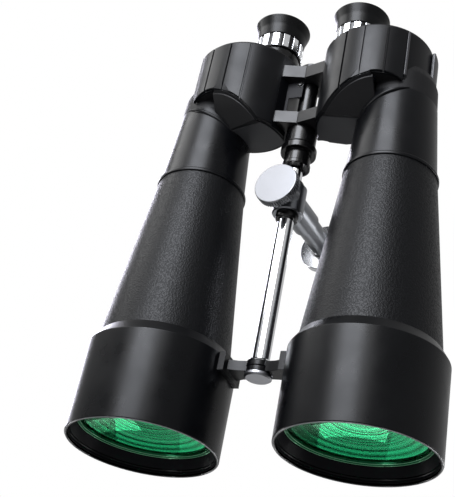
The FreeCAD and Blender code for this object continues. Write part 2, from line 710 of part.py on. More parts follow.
def eyepiece_group(side):
    """Focusing sleeve, ribbed ring, sliding eyepiece barrel, two lenses and the eyecup."""
    x = side.eye_x
    y = side.eye_y
    bore = size("ocular_radius") + 0.06
    cover = size("cover_rear_z")
    top = size("sleeve_top_z")
    sleeve = turned(side.name("focus_sleeve"), [
        (bore, size("cover_front_z") - 4.0),
        (size("sleeve_spigot_radius"), size("cover_front_z") - 4.0),
        (size("sleeve_spigot_radius"), cover),
        (size("sleeve_radius") + 1.0, cover),
        (size("sleeve_radius") + 1.0, cover + 1.4),
        (size("sleeve_radius"), cover + 2.2),
        (size("sleeve_radius") - 0.6, top),
        (size("sleeve_spigot_radius"), top),
        (size("sleeve_spigot_radius"), size("spigot_top_z")),
        (bore, size("spigot_top_z")),
    ], x, y)
    node(sleeve, side.name("focus_sleeve"))
    inner = size("sleeve_spigot_radius") + size("running_gap")
    ring = turned(side.name("focus_ring"), [
        (inner, size("ring_front_z")),
        (size("ring_radius") - 0.6, size("ring_front_z")),
        (size("ring_radius"), size("ring_front_z") + 0.8),
        (size("ring_radius"), size("ring_rear_z") - 0.8),
        (size("ring_radius") - 0.6, size("ring_rear_z")),
        (size("ocular_radius") + 0.4, size("ring_rear_z")),
        (size("ocular_radius") + 0.4, size("spigot_top_z") + 0.4),
        (inner, size("spigot_top_z") + 0.4),
    ], x, y)
    node(ring, side.name("focus_ring"))
    foot = size("eyecup_front_z") + 0.2
    ocular = turned(side.name("eyepiece_barrel"), [
        (size("ocular_bore"), size("ocular_front_z")),
        (size("ocular_radius"), size("ocular_front_z")),
        (size("ocular_radius"), foot),
        (size("ocular_radius") + 2.0, foot),
        (size("ocular_radius") + 2.0, foot + 4.8),
        (size("ocular_bore") - 0.8, foot + 4.8),
        (size("ocular_bore") - 0.8, foot + 4.0),
        (size("ocular_bore"), foot + 4.0),
    ], x, y)
    node(ocular, side.name("eyepiece_barrel"))
    for tag, low, thick, curve_low, curve_high in (
            ("field_lens", size("ocular_front_z") + 4.0, 6.0, 45.0, 30.0),
            ("eye_lens", foot - 3.2, 7.2, 24.0, 60.0)):
        bar = cylinder(side.name(tag + "_bar"), size("ocular_bore"), thick, x, y, low)
        lower = ball(side.name(tag + "_lower"), curve_low, x, y, low + curve_low)
        upper = ball(side.name(tag + "_upper"), curve_high, x, y, low + (thick - curve_high))
        lens = common(side.name(tag), [bar, lower, upper])
        node(lens, side.name(tag))
    low = size("eyecup_front_z")
    high = size("eyecup_rear_z")
    root = size("eyecup_root_radius")
    rim = size("eyecup_radius")
    cup = turned(side.name("eyecup"), [
        (size("ocular_radius") + 2.0, low),
        (root - 0.5, low),
        (root, low + 0.6),
        (root + 0.3, low + 4.5),
        (root + 1.6, low + 9.0),
        (rim, high - 2.0),
        (rim, high - 0.6),
        (rim - 0.5, high),
        (rim - 1.6, high),
        (rim - 2.2, high - 0.8),
        (root - 0.6, low + 8.6),
        (root - 3.4, foot + 5.8),
        (size("ocular_bore") - 0.6, foot + 5.8),
        (size("ocular_bore") - 0.6, foot + 4.8),
        (size("ocular_radius") + 2.0, foot + 4.8),
    ], x, y)
    node(cup, side.name("eyecup"))


def spine():
    """Hinge axle, collar, centre rod, front washer, end cap and axle nut."""
    rear = size("axle_rear_z")
    collar_z = size("front_lug_z") - 0.2
    axle = turned("hinge_axle", [
        (0.0, size("rod_rear_z")), (size("axle_radius") - 0.3, size("rod_rear_z")),
        (size("axle_radius"), size("rod_rear_z") + 0.5), (size("axle_radius"), rear), (0.0, rear),
    ], 0.0, AXIS_Y)
    node(axle, "hinge_axle")
    nut = turned("axle_nut", [
        (0.0, rear), (9.6, rear), (10.2, rear + 0.6), (10.2, rear + 3.4), (9.2, rear + 4.4),
        (3.0, rear + 4.4),
        (3.0, rear + 3.0), (0.0, rear + 3.0),
    ], 0.0, AXIS_Y)
    node(nut, "axle_nut")
    front = size("collar_front_z")
    neck = size("collar_neck_radius")
    wide = size("flange_radius")
    collar = turned("axle_collar", [
        (size("rod_radius"), front),
        (neck - 0.4, front),
        (neck + 0.5, front + 0.8),
        (neck + 0.5, front + 2.6),
        (neck, front + 3.2),
        (neck, front + 11.6),
        (wide - 0.6, front + 11.6),
        (wide, front + 12.4),
        (wide, front + 16.0),
        (wide - 0.9, front + 16.8),
        (size("collar_radius") - 0.7, front + 16.8),
        (size("collar_radius") - 0.7, front + 17.8),
        (size("collar_radius"), front + 18.2),
        (size("collar_radius"), collar_z),
        (size("axle_radius"), collar_z),
        (size("axle_radius"), size("rod_rear_z") + 0.5),
        (size("axle_radius") - 0.3, size("rod_rear_z")),
        (size("rod_radius"), size("rod_rear_z")),
    ], 0.0, AXIS_Y)
    node(collar, "axle_collar")
    rod = cylinder("centre_rod", size("rod_radius"), size("rod_rear_z") - size("rod_front_z"), 0.0, AXIS_Y,
                   size("rod_front_z"))
    node(rod, "centre_rod")
    hub_top = size("hub_front_z") + size("hub_height") + 0.3
    washer = turned("front_washer", [
        (size("rod_radius"), hub_top), (size("hub_radius") - 0.4, hub_top),
        (size("hub_radius"), hub_top + 0.4),
        (size("hub_radius") - 0.6, hub_top + 1.4), (size("rod_radius"), hub_top + 1.4),
    ], 0.0, AXIS_Y)
    node(washer, "front_washer")
    cap_z = size("cap_front_z")
    cap_r = size("cap_radius")
    cap = turned("rod_end_cap", [
        (0.0, cap_z), (cap_r - 0.5, cap_z), (cap_r, cap_z + 0.5), (cap_r, size("rod_front_z")),
        (0.0, size("rod_front_z")),
    ], 0.0, AXIS_Y)
    node(cap, "rod_end_cap")


def along_post(name, points):
    """Turn a profile of (radius, distance) about the post's axis, which points to +Y at no turn."""
    turn = FreeCAD.Rotation(FreeCAD.Vector(0, 0, 1), POST_TURN_DEG) * FreeCAD.Rotation(
        FreeCAD.Vector(1, 0, 0), -90.0)
    return turned(name, points, 0.0, AXIS_Y, size("carriage_z"), turn)


def tripod_group():
    """Nylon bush, post head, thin post with its foot, rubber pad, clamp knob and washer."""
    mid = size("carriage_z")
    bush_r = size("bush_radius")
    bush_h = size("bush_half_height")
    bush = turned("slide_bush", [
        (size("rod_radius") + size("running_gap"), mid - bush_h),
        (bush_r - 0.6, mid - bush_h),
        (bush_r, mid - bush_h + 0.8),
        (bush_r, mid + bush_h - 0.8),
        (bush_r - 0.6, mid + bush_h),
        (size("rod_radius") + size("running_gap"), mid + bush_h),
    ], 0.0, AXIS_Y)
    node(bush, "slide_bush")
    front = size("head_front_y")
    rear = size("head_rear_y")
    head_r = size("head_radius")
    bar = along_post("head_bar", [
        (0.0, front), (head_r - 0.8, front), (head_r, front + 0.8), (head_r, rear - 0.8),
        (head_r - 0.8, rear),
        (0.0, rear),
    ])
    boss_r = size("head_boss_radius")
    boss_h = size("head_boss_half")
    boss = turned("head_boss", [
        (0.0, mid - boss_h), (boss_r - 0.8, mid - boss_h), (boss_r, mid - boss_h + 0.8),
        (boss_r, mid + boss_h - 0.8), (boss_r - 0.8, mid + boss_h), (0.0, mid + boss_h),
    ], 0.0, AXIS_Y)
    joined = fuse("head_joined", [bar, boss])
    bush_bore = cylinder("head_bush_bore", bush_r + size("running_gap"), 60.0, 0.0, AXIS_Y, mid - 30.0)
    stud_bore = along_post("head_stud_bore", [
        (0.0, front - 1.0), (size("stud_radius") + size("running_gap"), front - 1.0),
        (size("stud_radius") + size("running_gap"), 0.0), (0.0, 0.0),
    ])
    spigot_bore = along_post("head_spigot_bore", [
        (0.0, 14.0), (5.0, 14.0), (5.0, rear + 1.0), (0.0, rear + 1.0),
    ])
    head = cut("post_head", joined, [bush_bore, stud_bore, spigot_bore])
    node(head, "post_head")
    post_r = size("post_radius")
    foot_r = size("foot_radius")
    flange = size("flange_front_y")
    back = size("flange_rear_y")
    depth = size("thread_depth")
    post = along_post("tripod_post", [
        (0.0, 14.0), (5.0, 14.0), (5.0, rear), (post_r - 0.5, rear), (post_r, rear + 0.5),
        (post_r, flange - 1.5), (post_r + 1.5, flange), (foot_r - 0.8, flange), (foot_r, flange + 0.8),
        (foot_r, back - 0.6), (foot_r - 0.6, back), (size("thread_radius"), back),
        (size("thread_radius"), back - depth), (0.0, back - depth),
    ])
    node(post, "tripod_post")
    pad_y = size("pad_rear_y")
    pad = along_post("foot_pad", [
        (5.0, back), (foot_r - 1.2, back), (foot_r - 1.2, pad_y - 0.5), (foot_r - 1.7, pad_y), (5.0, pad_y),
    ])
    node(pad, "foot_pad")
    face = size("knob_front_y")
    knob_back = size("knob_rear_y")
    knob_r = size("knob_radius")
    stud = size("stud_radius")
    knob = along_post("clamp_knob", [
        (0.0, face), (knob_r - 0.7, face), (knob_r, face + 0.7), (knob_r, knob_back - 0.7),
        (knob_r - 0.7, knob_back), (8.0, knob_back), (8.0, front - 1.4), (stud, front - 1.4),
        (stud, front + 4.4), (0.0, front + 4.4),
    ])
    node(knob, "clamp_knob")
    washer = along_post("knob_washer", [
        (stud + 0.3, front - 1.3), (8.6, front - 1.3), (8.6, front - 0.1), (stud + 0.3, front - 0.1),
    ])
    node(washer, "knob_washer")


for word, sign in (("left", -1), ("right", 1)):
    half = Side(word, sign)
    objective_group(half)
    blank = barrel_group(half)
    housing_group(half, blank)
    bridge_arm(half)
    eyepiece_group(half)
spine()
tripod_group()
doc.recompute()

problems = []
for item in doc.Objects:
    if "Invalid" in item.State or "Error" in item.State:
        problems.append("%s: %s" % (item.Name, item.State))
for item in NODES:
    shape = item.Shape
    if shape.isNull() or not shape.isValid() or not shape.Solids:
        problems.append("%s has no valid solid" % item.Label)
    elif len(shape.Solids) > 1 and not item.Label.endswith(("_screws", "_clips")):
        problems.append("%s has %d solids" % (item.Label, len(shape.Solids)))
if problems:
    raise SystemExit("\n".join(problems))

os.makedirs("parts", exist_ok=True)
for item in NODES:
    item.Shape.exportStep("parts/%s.step" % item.Label)
print("%d nodes written" % len(NODES))
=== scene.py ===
import json
import logging
import math
from contextlib import contextmanager
from dataclasses import dataclass
from enum import Enum
from functools import cache
from typing import Iterator, Sequence

import bmesh
import bpy
from mathutils import Matrix, Vector


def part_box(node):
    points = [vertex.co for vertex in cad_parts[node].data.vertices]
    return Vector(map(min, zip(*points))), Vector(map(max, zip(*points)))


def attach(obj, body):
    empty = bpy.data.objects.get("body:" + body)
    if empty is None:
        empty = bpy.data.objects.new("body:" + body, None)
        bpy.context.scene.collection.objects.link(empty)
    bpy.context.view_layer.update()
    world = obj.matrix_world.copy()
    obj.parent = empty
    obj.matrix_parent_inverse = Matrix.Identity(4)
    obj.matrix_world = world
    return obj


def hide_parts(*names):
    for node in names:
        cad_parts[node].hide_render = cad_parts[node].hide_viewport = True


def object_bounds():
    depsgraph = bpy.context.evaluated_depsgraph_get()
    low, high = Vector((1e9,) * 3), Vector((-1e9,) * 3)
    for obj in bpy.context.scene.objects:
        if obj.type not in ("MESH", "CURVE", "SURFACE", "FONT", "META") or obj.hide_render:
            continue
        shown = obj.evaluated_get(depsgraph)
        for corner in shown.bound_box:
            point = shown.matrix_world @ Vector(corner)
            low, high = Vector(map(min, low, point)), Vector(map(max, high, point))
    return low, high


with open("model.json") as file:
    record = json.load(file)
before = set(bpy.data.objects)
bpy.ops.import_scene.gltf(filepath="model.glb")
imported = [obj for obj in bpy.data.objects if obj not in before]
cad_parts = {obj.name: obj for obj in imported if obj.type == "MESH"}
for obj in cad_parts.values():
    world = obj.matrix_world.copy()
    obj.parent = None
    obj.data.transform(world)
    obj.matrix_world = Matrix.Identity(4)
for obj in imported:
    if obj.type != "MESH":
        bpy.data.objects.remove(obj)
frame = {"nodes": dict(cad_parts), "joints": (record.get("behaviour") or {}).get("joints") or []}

# A pair of large two-barrel astronomy binoculars standing on its objective hoods: satin black hoods,
# pebbled leatherette barrels, die-cast prism housings in rubber, a chromed centre rod with a tripod
# post and clamp knob, and eyepieces that each focus on their own. Sizes are in millimetres until a
# piece is settled on its axis, which also turns it into metres.

logging.basicConfig(level=logging.INFO, format="%(name)s: %(message)s")
log = logging.getLogger("binoculars")

MM = 0.001
CAD_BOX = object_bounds()

# Facets round the hoods and barrels, the middling turned parts and the small ones.
WIDE_SEGMENTS = 192
ROUND_SEGMENTS = 160
SMALL_SEGMENTS = 96

# Points nearer than this are one: in millimetres on a drawn mesh, in metres on a CAD node's mesh.
SAME_POINT_MM = 1e-5
SAME_POINT_CAD = 2e-6

# Node types that the trees use most.
MATH = "ShaderNodeMath"
VECTOR_MATH = "ShaderNodeVectorMath"
COMBINE = "ShaderNodeCombineXYZ"
SEPARATE = "ShaderNodeSeparateXYZ"
NOISE = "ShaderNodeTexNoise"
MAP_RANGE = "ShaderNodeMapRange"
COLOUR_MIX = "ShaderNodeMix"
OBJECT_POINTS = "ShaderNodeTexCoord"

# A pair and a triple of numbers: a place in an outline or in space, or a span of values.
Point = tuple[float, float]
Corner = tuple[float, float, float]
Values = dict[str, object]
Tree = bpy.types.NodeTree
Node = bpy.types.Node
Socket = bpy.types.NodeSocket
Piece = bpy.types.Object
Mesh = bpy.types.Mesh


# ---------------------------------------------------------------- small tools


def linear(code: str) -> tuple[float, float, float, float]:
    """Turn an sRGB hex colour into linear RGBA.

    Args:
        code: Colour such as "#1A1B1E".

    Returns:
        The colour with an alpha of 1.
    """
    channels = [int(code[i:i + 2], 16) / 255 for i in (1, 3, 5)]
    red, green, blue = (c / 12.92 if c <= 0.04045 else ((c + 0.055) / 1.055) ** 2.4 for c in channels)
    return red, green, blue, 1.0


def add(tree: Tree, kind: str, inputs: dict | None = None, **settings: object) -> Node:
    """Add a node with its settings, its values and its links.

    Args:
        tree: Shader or geometry tree that takes the node.
        kind: Node type.
        inputs: Value or source socket for each input, by name or place.
        settings: Properties of the node.

    Returns:
        The new node.
    """
    made = tree.nodes.new(kind)
    for name, value in settings.items():
        setattr(made, name, value)
    for key, value in (inputs or {}).items():
        if isinstance(value, Socket):
            tree.links.new(made.inputs[key], value)
        else:
            made.inputs[key].default_value = value
    return made


def blank_tree(owner: bpy.types.Material | bpy.types.World) -> Tree:
    """Turn on the nodes of a material or world and empty them.

    Args:
        owner: What the tree belongs to.

    Returns:
        The empty tree.
    """
    owner.use_nodes = True
    owner.node_tree.nodes.clear()
    return owner.node_tree


def scale_for(size: float) -> float:
    """Texture scale that draws a pattern's feature at a size in millimetres."""
    return 1 / (size * MM)


class Side(Enum):
    """A half of the binoculars: the left one lies at -X."""

    LEFT = -1
    RIGHT = 1

    @property
    def word(self) -> str:
        """Word that starts the names of this half's pieces."""
        return self.name.lower()

    def of(self, name: str) -> str:
        """Name of this half's own piece, node or body."""
        return f"{self.word}_{name}"


@dataclass(frozen=True)
class Axis:
    """A turning axis in millimetres: a point on it and its direction."""

    x: float
    y: float
    z: float = 0.0
    direction: Corner = (0.0, 0.0, 1.0)

    def matrix(self) -> Matrix:
        """Matrix from millimetres round this axis to metres in the shared frame."""
        turn = Vector((0, 0, 1)).rotation_difference(Vector(self.direction)).to_matrix().to_4x4()
        return Matrix.Translation(Vector((self.x, self.y, self.z)) * MM) @ turn @ Matrix.Scale(MM, 4)


def axis_of(node: str) -> Axis:
    """Find the upright axis through the middle of a round CAD node.

    Args:
        node: Name of the node.

    Returns:
        Its axis.
    """
    low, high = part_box(node)
    middle = (low + high) / 2 / MM
    return Axis(middle.x, middle.y)


def settle(piece: Piece, axis: Axis) -> Piece:
    """Put a mesh drawn in millimetres round its own axis into the shared frame."""
    piece.data.transform(axis.matrix())
    return piece


def object_of(name: str, mesh: Mesh) -> Piece:
    """Link a mesh to the scene as a piece.

    Args:
        name: Name of the piece.
        mesh: Its mesh.

    Returns:
        The piece.
    """
    piece = bpy.data.objects.new(name, mesh)
    bpy.context.scene.collection.objects.link(piece)
    return piece


@contextmanager
def editing(mesh: Mesh) -> Iterator[bmesh.types.BMesh]:
    """Open a mesh for editing, and write it back when the block ends.

    Args:
        mesh: Mesh that is edited.

    Yields:
        Its editable copy.
    """
    shape = bmesh.new()
    shape.from_mesh(mesh)
    yield shape
    shape.to_mesh(mesh)
    shape.free()


def mesh_of(name: str, points: Sequence, faces: Sequence, smooth: bool = True) -> Mesh:
    """Make a closed mesh whose faces point outwards.

    Args:
        name: Name of the mesh.
        points: Corners in millimetres.
        faces: Corner numbers of each face.
        smooth: Whether its faces are shaded smooth.

    Returns:
        The mesh.
    """
    mesh = bpy.data.meshes.new(name)
    mesh.from_pydata(points, [], faces)
    with editing(mesh) as shape:
        bmesh.ops.remove_doubles(shape, verts=shape.verts, dist=SAME_POINT_MM)
        bmesh.ops.recalc_face_normals(shape, faces=shape.faces)
        for face in shape.faces:
            face.smooth = smooth
    return mesh


def plate(name: str, outline: Sequence[Point], low: float, high: float, axis: Axis,
          smooth: bool = True) -> Piece:
    """Make a flat plate from its outline.

    Args:
        name: Name of the piece.
        outline: Corners of the plate, seen along its axis.
        low: Where the plate starts along the axis.
        high: Where it ends.
        axis: Axis that the outline is drawn round.
        smooth: Whether its faces are shaded smooth.

    Returns:
        The piece, in place.
    """
    count = len(outline)
    points = [(x, y, z) for z in (low, high) for x, y in outline]
    faces = [tuple(range(count)), tuple(range(count, 2 * count))]
    faces += [(k, (k + 1) % count, (k + 1) % count + count, k + count) for k in range(count)]
    return settle(object_of(name, mesh_of(name, points, faces, smooth)), axis)


def rounded(corners: Sequence[Corner], closed: bool, steps: int = 5) -> list[Point]:
    """Round the corners of an outline.

    Args:
        corners: (radius, height, fillet) of each corner.
        closed: Whether the last corner joins the first.
        steps: Points on each fillet, less one.

    Returns:
        The (radius, height) points of the rounded outline.
    """
    points: list[Point] = []
    count = len(corners)
    for i, (radius, height, fillet) in enumerate(corners):
        here = Vector((radius, height))
        if fillet <= 0 or (not closed and i in (0, count - 1)):
            points.append((radius, height))
            continue
        before = Vector(corners[i - 1][:2]) - here
        after = Vector(corners[(i + 1) % count][:2]) - here
        half_angle = before.angle(after) / 2
        reach = min(fillet / math.tan(half_angle), before.length * 0.49, after.length * 0.49)
        size = reach * math.tan(half_angle)
        start, end = here + before.normalized() * reach, here + after.normalized() * reach
        middle_way = (before.normalized() + after.normalized()).normalized()
        centre = here + middle_way * (size / math.sin(half_angle))
        for k in range(steps + 1):
            spot = start.lerp(end, k / steps) - centre
            spot = spot.normalized() * size + centre
            points.append((spot.x, spot.y))
    return points


def turned(name: str, corners: Sequence[Corner], axis: Axis, segments: int = ROUND_SEGMENTS,
           steps: int = 5) -> Piece:
    """Turn an outline about an axis, like a part on a lathe.

    Args:
        name: Name of the piece.
        corners: (radius, height, fillet) corners; an outline that starts and ends at radius 0 is solid.
        axis: Turning axis.
        segments: Facets round the axis.
        steps: Facets on each fillet.

    Returns:
        The piece, in place.
    """
    solid = corners[0][0] == 0 and corners[-1][0] == 0
    outline = rounded(corners, not solid, steps)
    points: list[Corner] = []
    rings: list[list[int]] = []
    for radius, height in outline:
        first = len(points)
        if radius < 1e-6:
            points.append((0.0, 0.0, height))
            rings.append([first] * segments)
            continue
        for k in range(segments):
            turn = 2 * math.pi * k / segments
            points.append((radius * math.cos(turn), radius * math.sin(turn), height))
        rings.append(list(range(first, first + segments)))
    faces = []
    pairs = list(zip(rings, rings[1:])) + ([] if solid else [(rings[-1], rings[0])])
    for low, high in pairs:
        for k in range(segments):
            beside = (k + 1) % segments
            unique = list(dict.fromkeys((low[k], low[beside], high[beside], high[k])))
            if len(unique) > 2:
                faces.append(unique)
    piece = settle(object_of(name, mesh_of(name, points, faces)), axis)
    keep_flats(piece)
    return piece


def keep_flats(piece: Piece) -> None:
    """Let large flat faces keep their own normals next to fillets.

    Args:
        piece: Piece that is shaded so.
    """
    even = piece.modifiers.new("even_shading", "WEIGHTED_NORMAL")
    even.mode = "FACE_AREA"
    even.weight = 100
    even.keep_sharp = True


def break_edges(piece: Piece, width: float, angle: float, segments: int) -> None:
    """Break a piece's sharp edges with a small live bevel.

    Args:
        piece: Piece with the edges.
        width: Width of the broken edges, in millimetres.
        angle: Smallest angle, in degrees, between faces that counts as an edge.
        segments: Facets across each edge.
    """
    bevel = piece.modifiers.new("broken_edges", "BEVEL")
    bevel.limit_method = "ANGLE"
    bevel.angle_limit = math.radians(angle)
    bevel.width = width * MM
    bevel.segments = segments
    bevel.use_clamp_overlap = True
    keep_flats(piece)


def shade_by_angle(piece: Piece, angle: float) -> None:
    """Shade smooth, with a crease wherever faces meet at more than an angle.

    Args:
        piece: Piece that is shaded.
        angle: The angle, in degrees.
    """
    with editing(piece.data) as shape:
        for face in shape.faces:
            face.smooth = True
        for edge in shape.edges:
            edge.smooth = edge.calc_face_angle(0.0) < math.radians(angle)


def softened(name: str, node: str, width: float, angle: float = 32.0) -> Piece:
    """Copy a CAD node and break its sharp edges, as casting and deburring do.

    Args:
        name: Name of the piece.
        node: CAD node that is copied.
        width: Width of the broken edges, in millimetres.
        angle: Smallest angle, in degrees, between faces that counts as an edge.

    Returns:
        The copy, with a live bevel.
    """
    flat_angle = math.radians(0.6)
    mesh = frame["nodes"][node].data.copy()
    mesh.materials.clear()
    with editing(mesh) as shape:
        bmesh.ops.remove_doubles(shape, verts=shape.verts, dist=SAME_POINT_CAD)
        bmesh.ops.dissolve_limit(shape, angle_limit=flat_angle, verts=shape.verts, edges=shape.edges)
        for face in shape.faces:
            face.smooth = True
    piece = object_of(name, mesh)
    break_edges(piece, width, angle, segments=3)
    return piece


# ---------------------------------------------------------------- finishes


@dataclass(frozen=True)
class Finish:
    """A surface: its two colours, how rough it is and its fine relief.

    Its roughness runs from spread below to spread above the middle value. grain_mm and relief_mm are the
    width and depth of the relief, and patch_mm is the width of the patches in which the colours mix.
    """

    name: str
    colour: str
    shade: str
    metallic: float = 0.0
    roughness: float = 0.4
    spread: float = 0.05
    specular: float = 0.5
    coat: float = 0.0
    coat_roughness: float = 0.1
    grain_mm: float = 0.35
    relief_mm: float = 0.01
    patch_mm: float = 18.0

    def material(self) -> bpy.types.Material:
        """Make the material of this finish, or find it if it is made.

        Returns:
            The material.
        """
        found = bpy.data.materials.get(self.name)
        if found:
            return found
        made = bpy.data.materials.new(self.name)
        tree = blank_tree(made)
        add(tree, "ShaderNodeOutputMaterial", {"Surface": self.surface(tree)})
        return made

    def surface(self, tree: Tree) -> Socket:
        """Build the shader, whose colour, roughness and relief follow the finish's patterns.

        Args:
            tree: Tree that takes the nodes.

        Returns:
            Socket of the shader.
        """
        points = add(tree, OBJECT_POINTS).outputs["Object"]
        height = self.height(tree, points)
        noise = add(tree, NOISE, {
            "Vector": points, "Scale": scale_for(self.patch_mm), "Detail": 3.0, "Roughness": 0.6})
        patches = noise.outputs[0]
        mix = add(tree, COLOUR_MIX, {
            0: self.tint(tree, points, patches), 6: linear(self.colour), 7: linear(self.shade)},
            data_type="RGBA")
        rough = add(tree, MAP_RANGE, {
            "Value": self.wear(tree, patches, height), "From Min": 0.3, "From Max": 0.7,
            "To Min": self.roughness - self.spread, "To Max": self.roughness + self.spread})
        bump = add(tree, "ShaderNodeBump", {
            "Height": height, "Strength": 1.0, "Distance": self.relief_mm * MM})
        return add(tree, "ShaderNodeBsdfPrincipled", {
            "Base Color": mix.outputs[2], "Metallic": self.metallic, "Roughness": rough.outputs[0],
            "Specular IOR Level": self.specular, "Coat Weight": self.coat,
            "Coat Roughness": self.coat_roughness, "Normal": bump.outputs[0]}).outputs[0]

    def height(self, tree: Tree, points: Socket) -> Socket:
        """Fine relief of the surface: the orange peel of a sprayed or moulded skin."""
        return add(tree, NOISE, {
            "Vector": points, "Scale": scale_for(self.grain_mm), "Detail": 2.0}).outputs[0]

    def tint(self, tree: Tree, points: Socket, patches: Socket) -> Socket:
        """Share of the second colour at each point."""
        return patches

    def wear(self, tree: Tree, patches: Socket, height: Socket) -> Socket:
        """What the roughness follows."""
        return patches


@dataclass(frozen=True)
class Leatherette(Finish):
    """Embossed vinyl: rounded pebbles with dark creases between them."""

    pebble_mm: float = 1.1

    def height(self, tree: Tree, points: Socket) -> Socket:
        """Draw pebbles of uneven size, bent by a broad noise, under a fine grain.

        Args:
            tree: Tree that takes the nodes.
            points: Coordinates that the pattern follows.

        Returns:
            Height of the surface.
        """
        bend = add(tree, NOISE, {
            "Vector": points, "Scale": scale_for(2.6 * self.pebble_mm), "Detail": 2.0})
        shift = add(tree, VECTOR_MATH, {0: bend.outputs[1], 1: (0.5,) * 3}, operation="SUBTRACT")
        bent = add(tree, VECTOR_MATH, {
            0: shift.outputs[0], 1: (1.6 * self.pebble_mm * MM,) * 3, 2: points}, operation="MULTIPLY_ADD")
        pebbles = add(tree, "ShaderNodeTexVoronoi", {
            "Vector": bent.outputs[0], "Scale": scale_for(self.pebble_mm), "Smoothness": 0.35},
            feature="SMOOTH_F1")
        domes = add(tree, MAP_RANGE, {
            "Value": pebbles.outputs[0], "From Min": 0.15, "From Max": 0.75, "To Min": 1.0, "To Max": 0.0})
        grain = add(tree, NOISE, {
            "Vector": points, "Scale": scale_for(0.3 * self.pebble_mm), "Detail": 2.0})
        return add(tree, MATH, {
            0: grain.outputs[0], 1: 0.25, 2: domes.outputs[0]}, operation="MULTIPLY_ADD").outputs[0]

    def wear(self, tree: Tree, patches: Socket, height: Socket) -> Socket:
        """The tops of the pebbles are smoother than the creases."""
        return add(tree, MATH, {0: 1.0, 1: height}, operation="SUBTRACT").outputs[0]


@dataclass(frozen=True)
class TurnedMetal(Finish):
    """Metal with the fine rings that a lathe or a brush leaves round an axis."""

    along: Corner = (0.0, 0.0, 1.0)

    def height(self, tree: Tree, points: Socket) -> Socket:
        """Rings that follow the distance along the axis."""
        travel = add(tree, VECTOR_MATH, {0: points, 1: self.along}, operation="DOT_PRODUCT")
        return add(tree, NOISE, {
            "W": travel.outputs["Value"], "Scale": scale_for(self.grain_mm), "Detail": 3.0},
            noise_dimensions="1D").outputs[0]


@dataclass(frozen=True)
class LensCoating(Finish):
    """Coated lens face: its colour runs in faint streaks round the lens's own axis.

    Two slanting lines also cross the face, and the zones beyond them are painted reflections. Each is given
    by where the change starts and ends, in millimetres from the lens's axis: before the first line the face
    is painted darker, a painted reflection of the dark mount, and past the second it is painted paler, a
    painted highlight. The shares are shares of the second colour.
    """

    streak_mm: float = 2.4
    streak_shares: Point = (0.32, 0.86)
    patch_share: float = 0.2
    slant: float = 0.39
    painted_shade_line_mm: Point = (-27.5, -26.5)
    painted_shade_share: float = 0.45
    painted_highlight_line_mm: Point = (16.5, 17.2)
    painted_highlight_share: float = -0.25

    def tint(self, tree: Tree, points: Socket, patches: Socket) -> Socket:
        """Mix the streaks, the broad patches and the two slanting zones of painted reflection.

        Args:
            tree: Tree that takes the nodes.
            points: Coordinates that the pattern follows.
            patches: Broad patches of the finish.

        Returns:
            Share of the second colour.
        """
        lens = axis_of(Side.RIGHT.of("objective_hood"))
        place = add(tree, SEPARATE, {0: points})
        east, north = place.outputs[0], place.outputs[1]
        away = add(tree, MATH, {0: east}, operation="ABSOLUTE")
        flat = add(tree, COMBINE, {0: away.outputs[0], 1: north})
        span = add(tree, VECTOR_MATH, {0: flat.outputs[0], 1: (lens.x * MM, lens.y * MM, 0.0)},
                   operation="DISTANCE")
        streaks = add(tree, NOISE, {
            "W": span.outputs["Value"], "Scale": scale_for(self.streak_mm), "Detail": 3.0,
            "Roughness": 0.6}, noise_dimensions="1D")
        even = add(tree, MAP_RANGE, {
            "Value": streaks.outputs[0], "From Min": 0.4, "From Max": 0.62,
            "To Min": self.streak_shares[0], "To Max": self.streak_shares[1]})
        share = add(tree, MATH, {0: patches, 1: self.patch_share, 2: even.outputs[0]},
                    operation="MULTIPLY_ADD")
        half = add(tree, MATH, {0: east}, operation="SIGN")
        from_lens = add(tree, MATH, {0: half.outputs[0], 1: -lens.x * MM, 2: east},
                        operation="MULTIPLY_ADD")
        slanted = add(tree, MATH, {0: north, 1: self.slant, 2: from_lens.outputs[0]},
                      operation="MULTIPLY_ADD")
        # The darker zone is a painted reflection of the dark mount, and the paler one a painted highlight.
        sides = []
        for line, before, after in ((self.painted_highlight_line_mm, 0.0, self.painted_highlight_share),
                                    (self.painted_shade_line_mm, self.painted_shade_share, 0.0)):
            sides.append(add(tree, MAP_RANGE, {
                "Value": slanted.outputs[0], "From Min": line[0] * MM, "From Max": line[1] * MM,
                "To Min": before, "To Max": after}))
        zones = add(tree, MATH, {0: sides[0].outputs[0], 1: sides[1].outputs[0]}, operation="ADD")
        return add(tree, MATH, {0: share.outputs[0], 1: zones.outputs[0]}, operation="ADD",
                   use_clamp=True).outputs[0]


@dataclass(frozen=True)
class ClearGlass(Finish):
    """Bloomed glass: what lies behind it shows through, with a weak glint on top."""

    index: float = 1.03

    def surface(self, tree: Tree) -> Socket:
        """Shader of clear glass, with the second colour in its glint."""
        return add(tree, "ShaderNodeBsdfPrincipled", {
            "Base Color": linear(self.colour), "Roughness": self.roughness, "IOR": self.index,
            "Specular Tint": linear(self.shade), "Transmission Weight": 1.0}).outputs[0]


# Spun aluminium sprayed satin black: a deep, even black with one broad, soft sheen down the tube.
HOOD_PAINT = Finish("satin_sprayed_aluminium_black", "#06070A", "#090A0D", roughness=0.3, specular=0.125,
                    grain_mm=0.5, relief_mm=0.003)
# Matt blacking: it swallows light, so the inside of the hood reads as dark.
# On the web plate between the hinge plates the same black is painted shade.
BLACKING_AND_SHADE = Finish("matt_blacking_and_painted_shade", "#0C0C11", "#111117", roughness=0.5, specular=0.1)
# Aluminium anodised black: a thin, hard film on smooth metal, with narrow, crisp glints.
ANODISED = Finish("black_anodised_aluminium", "#070708", "#0B0B0D", roughness=0.22, specular=0.22,
                  grain_mm=0.4, relief_mm=0.003)
# Embossed vinyl: rounded pebbles that catch the light on top and stay dull in the creases.
VINYL = Leatherette("pebbled_leatherette", "#08090C", "#0C0D10", roughness=0.42, spread=0.09,
                    specular=0.11, relief_mm=0.09)
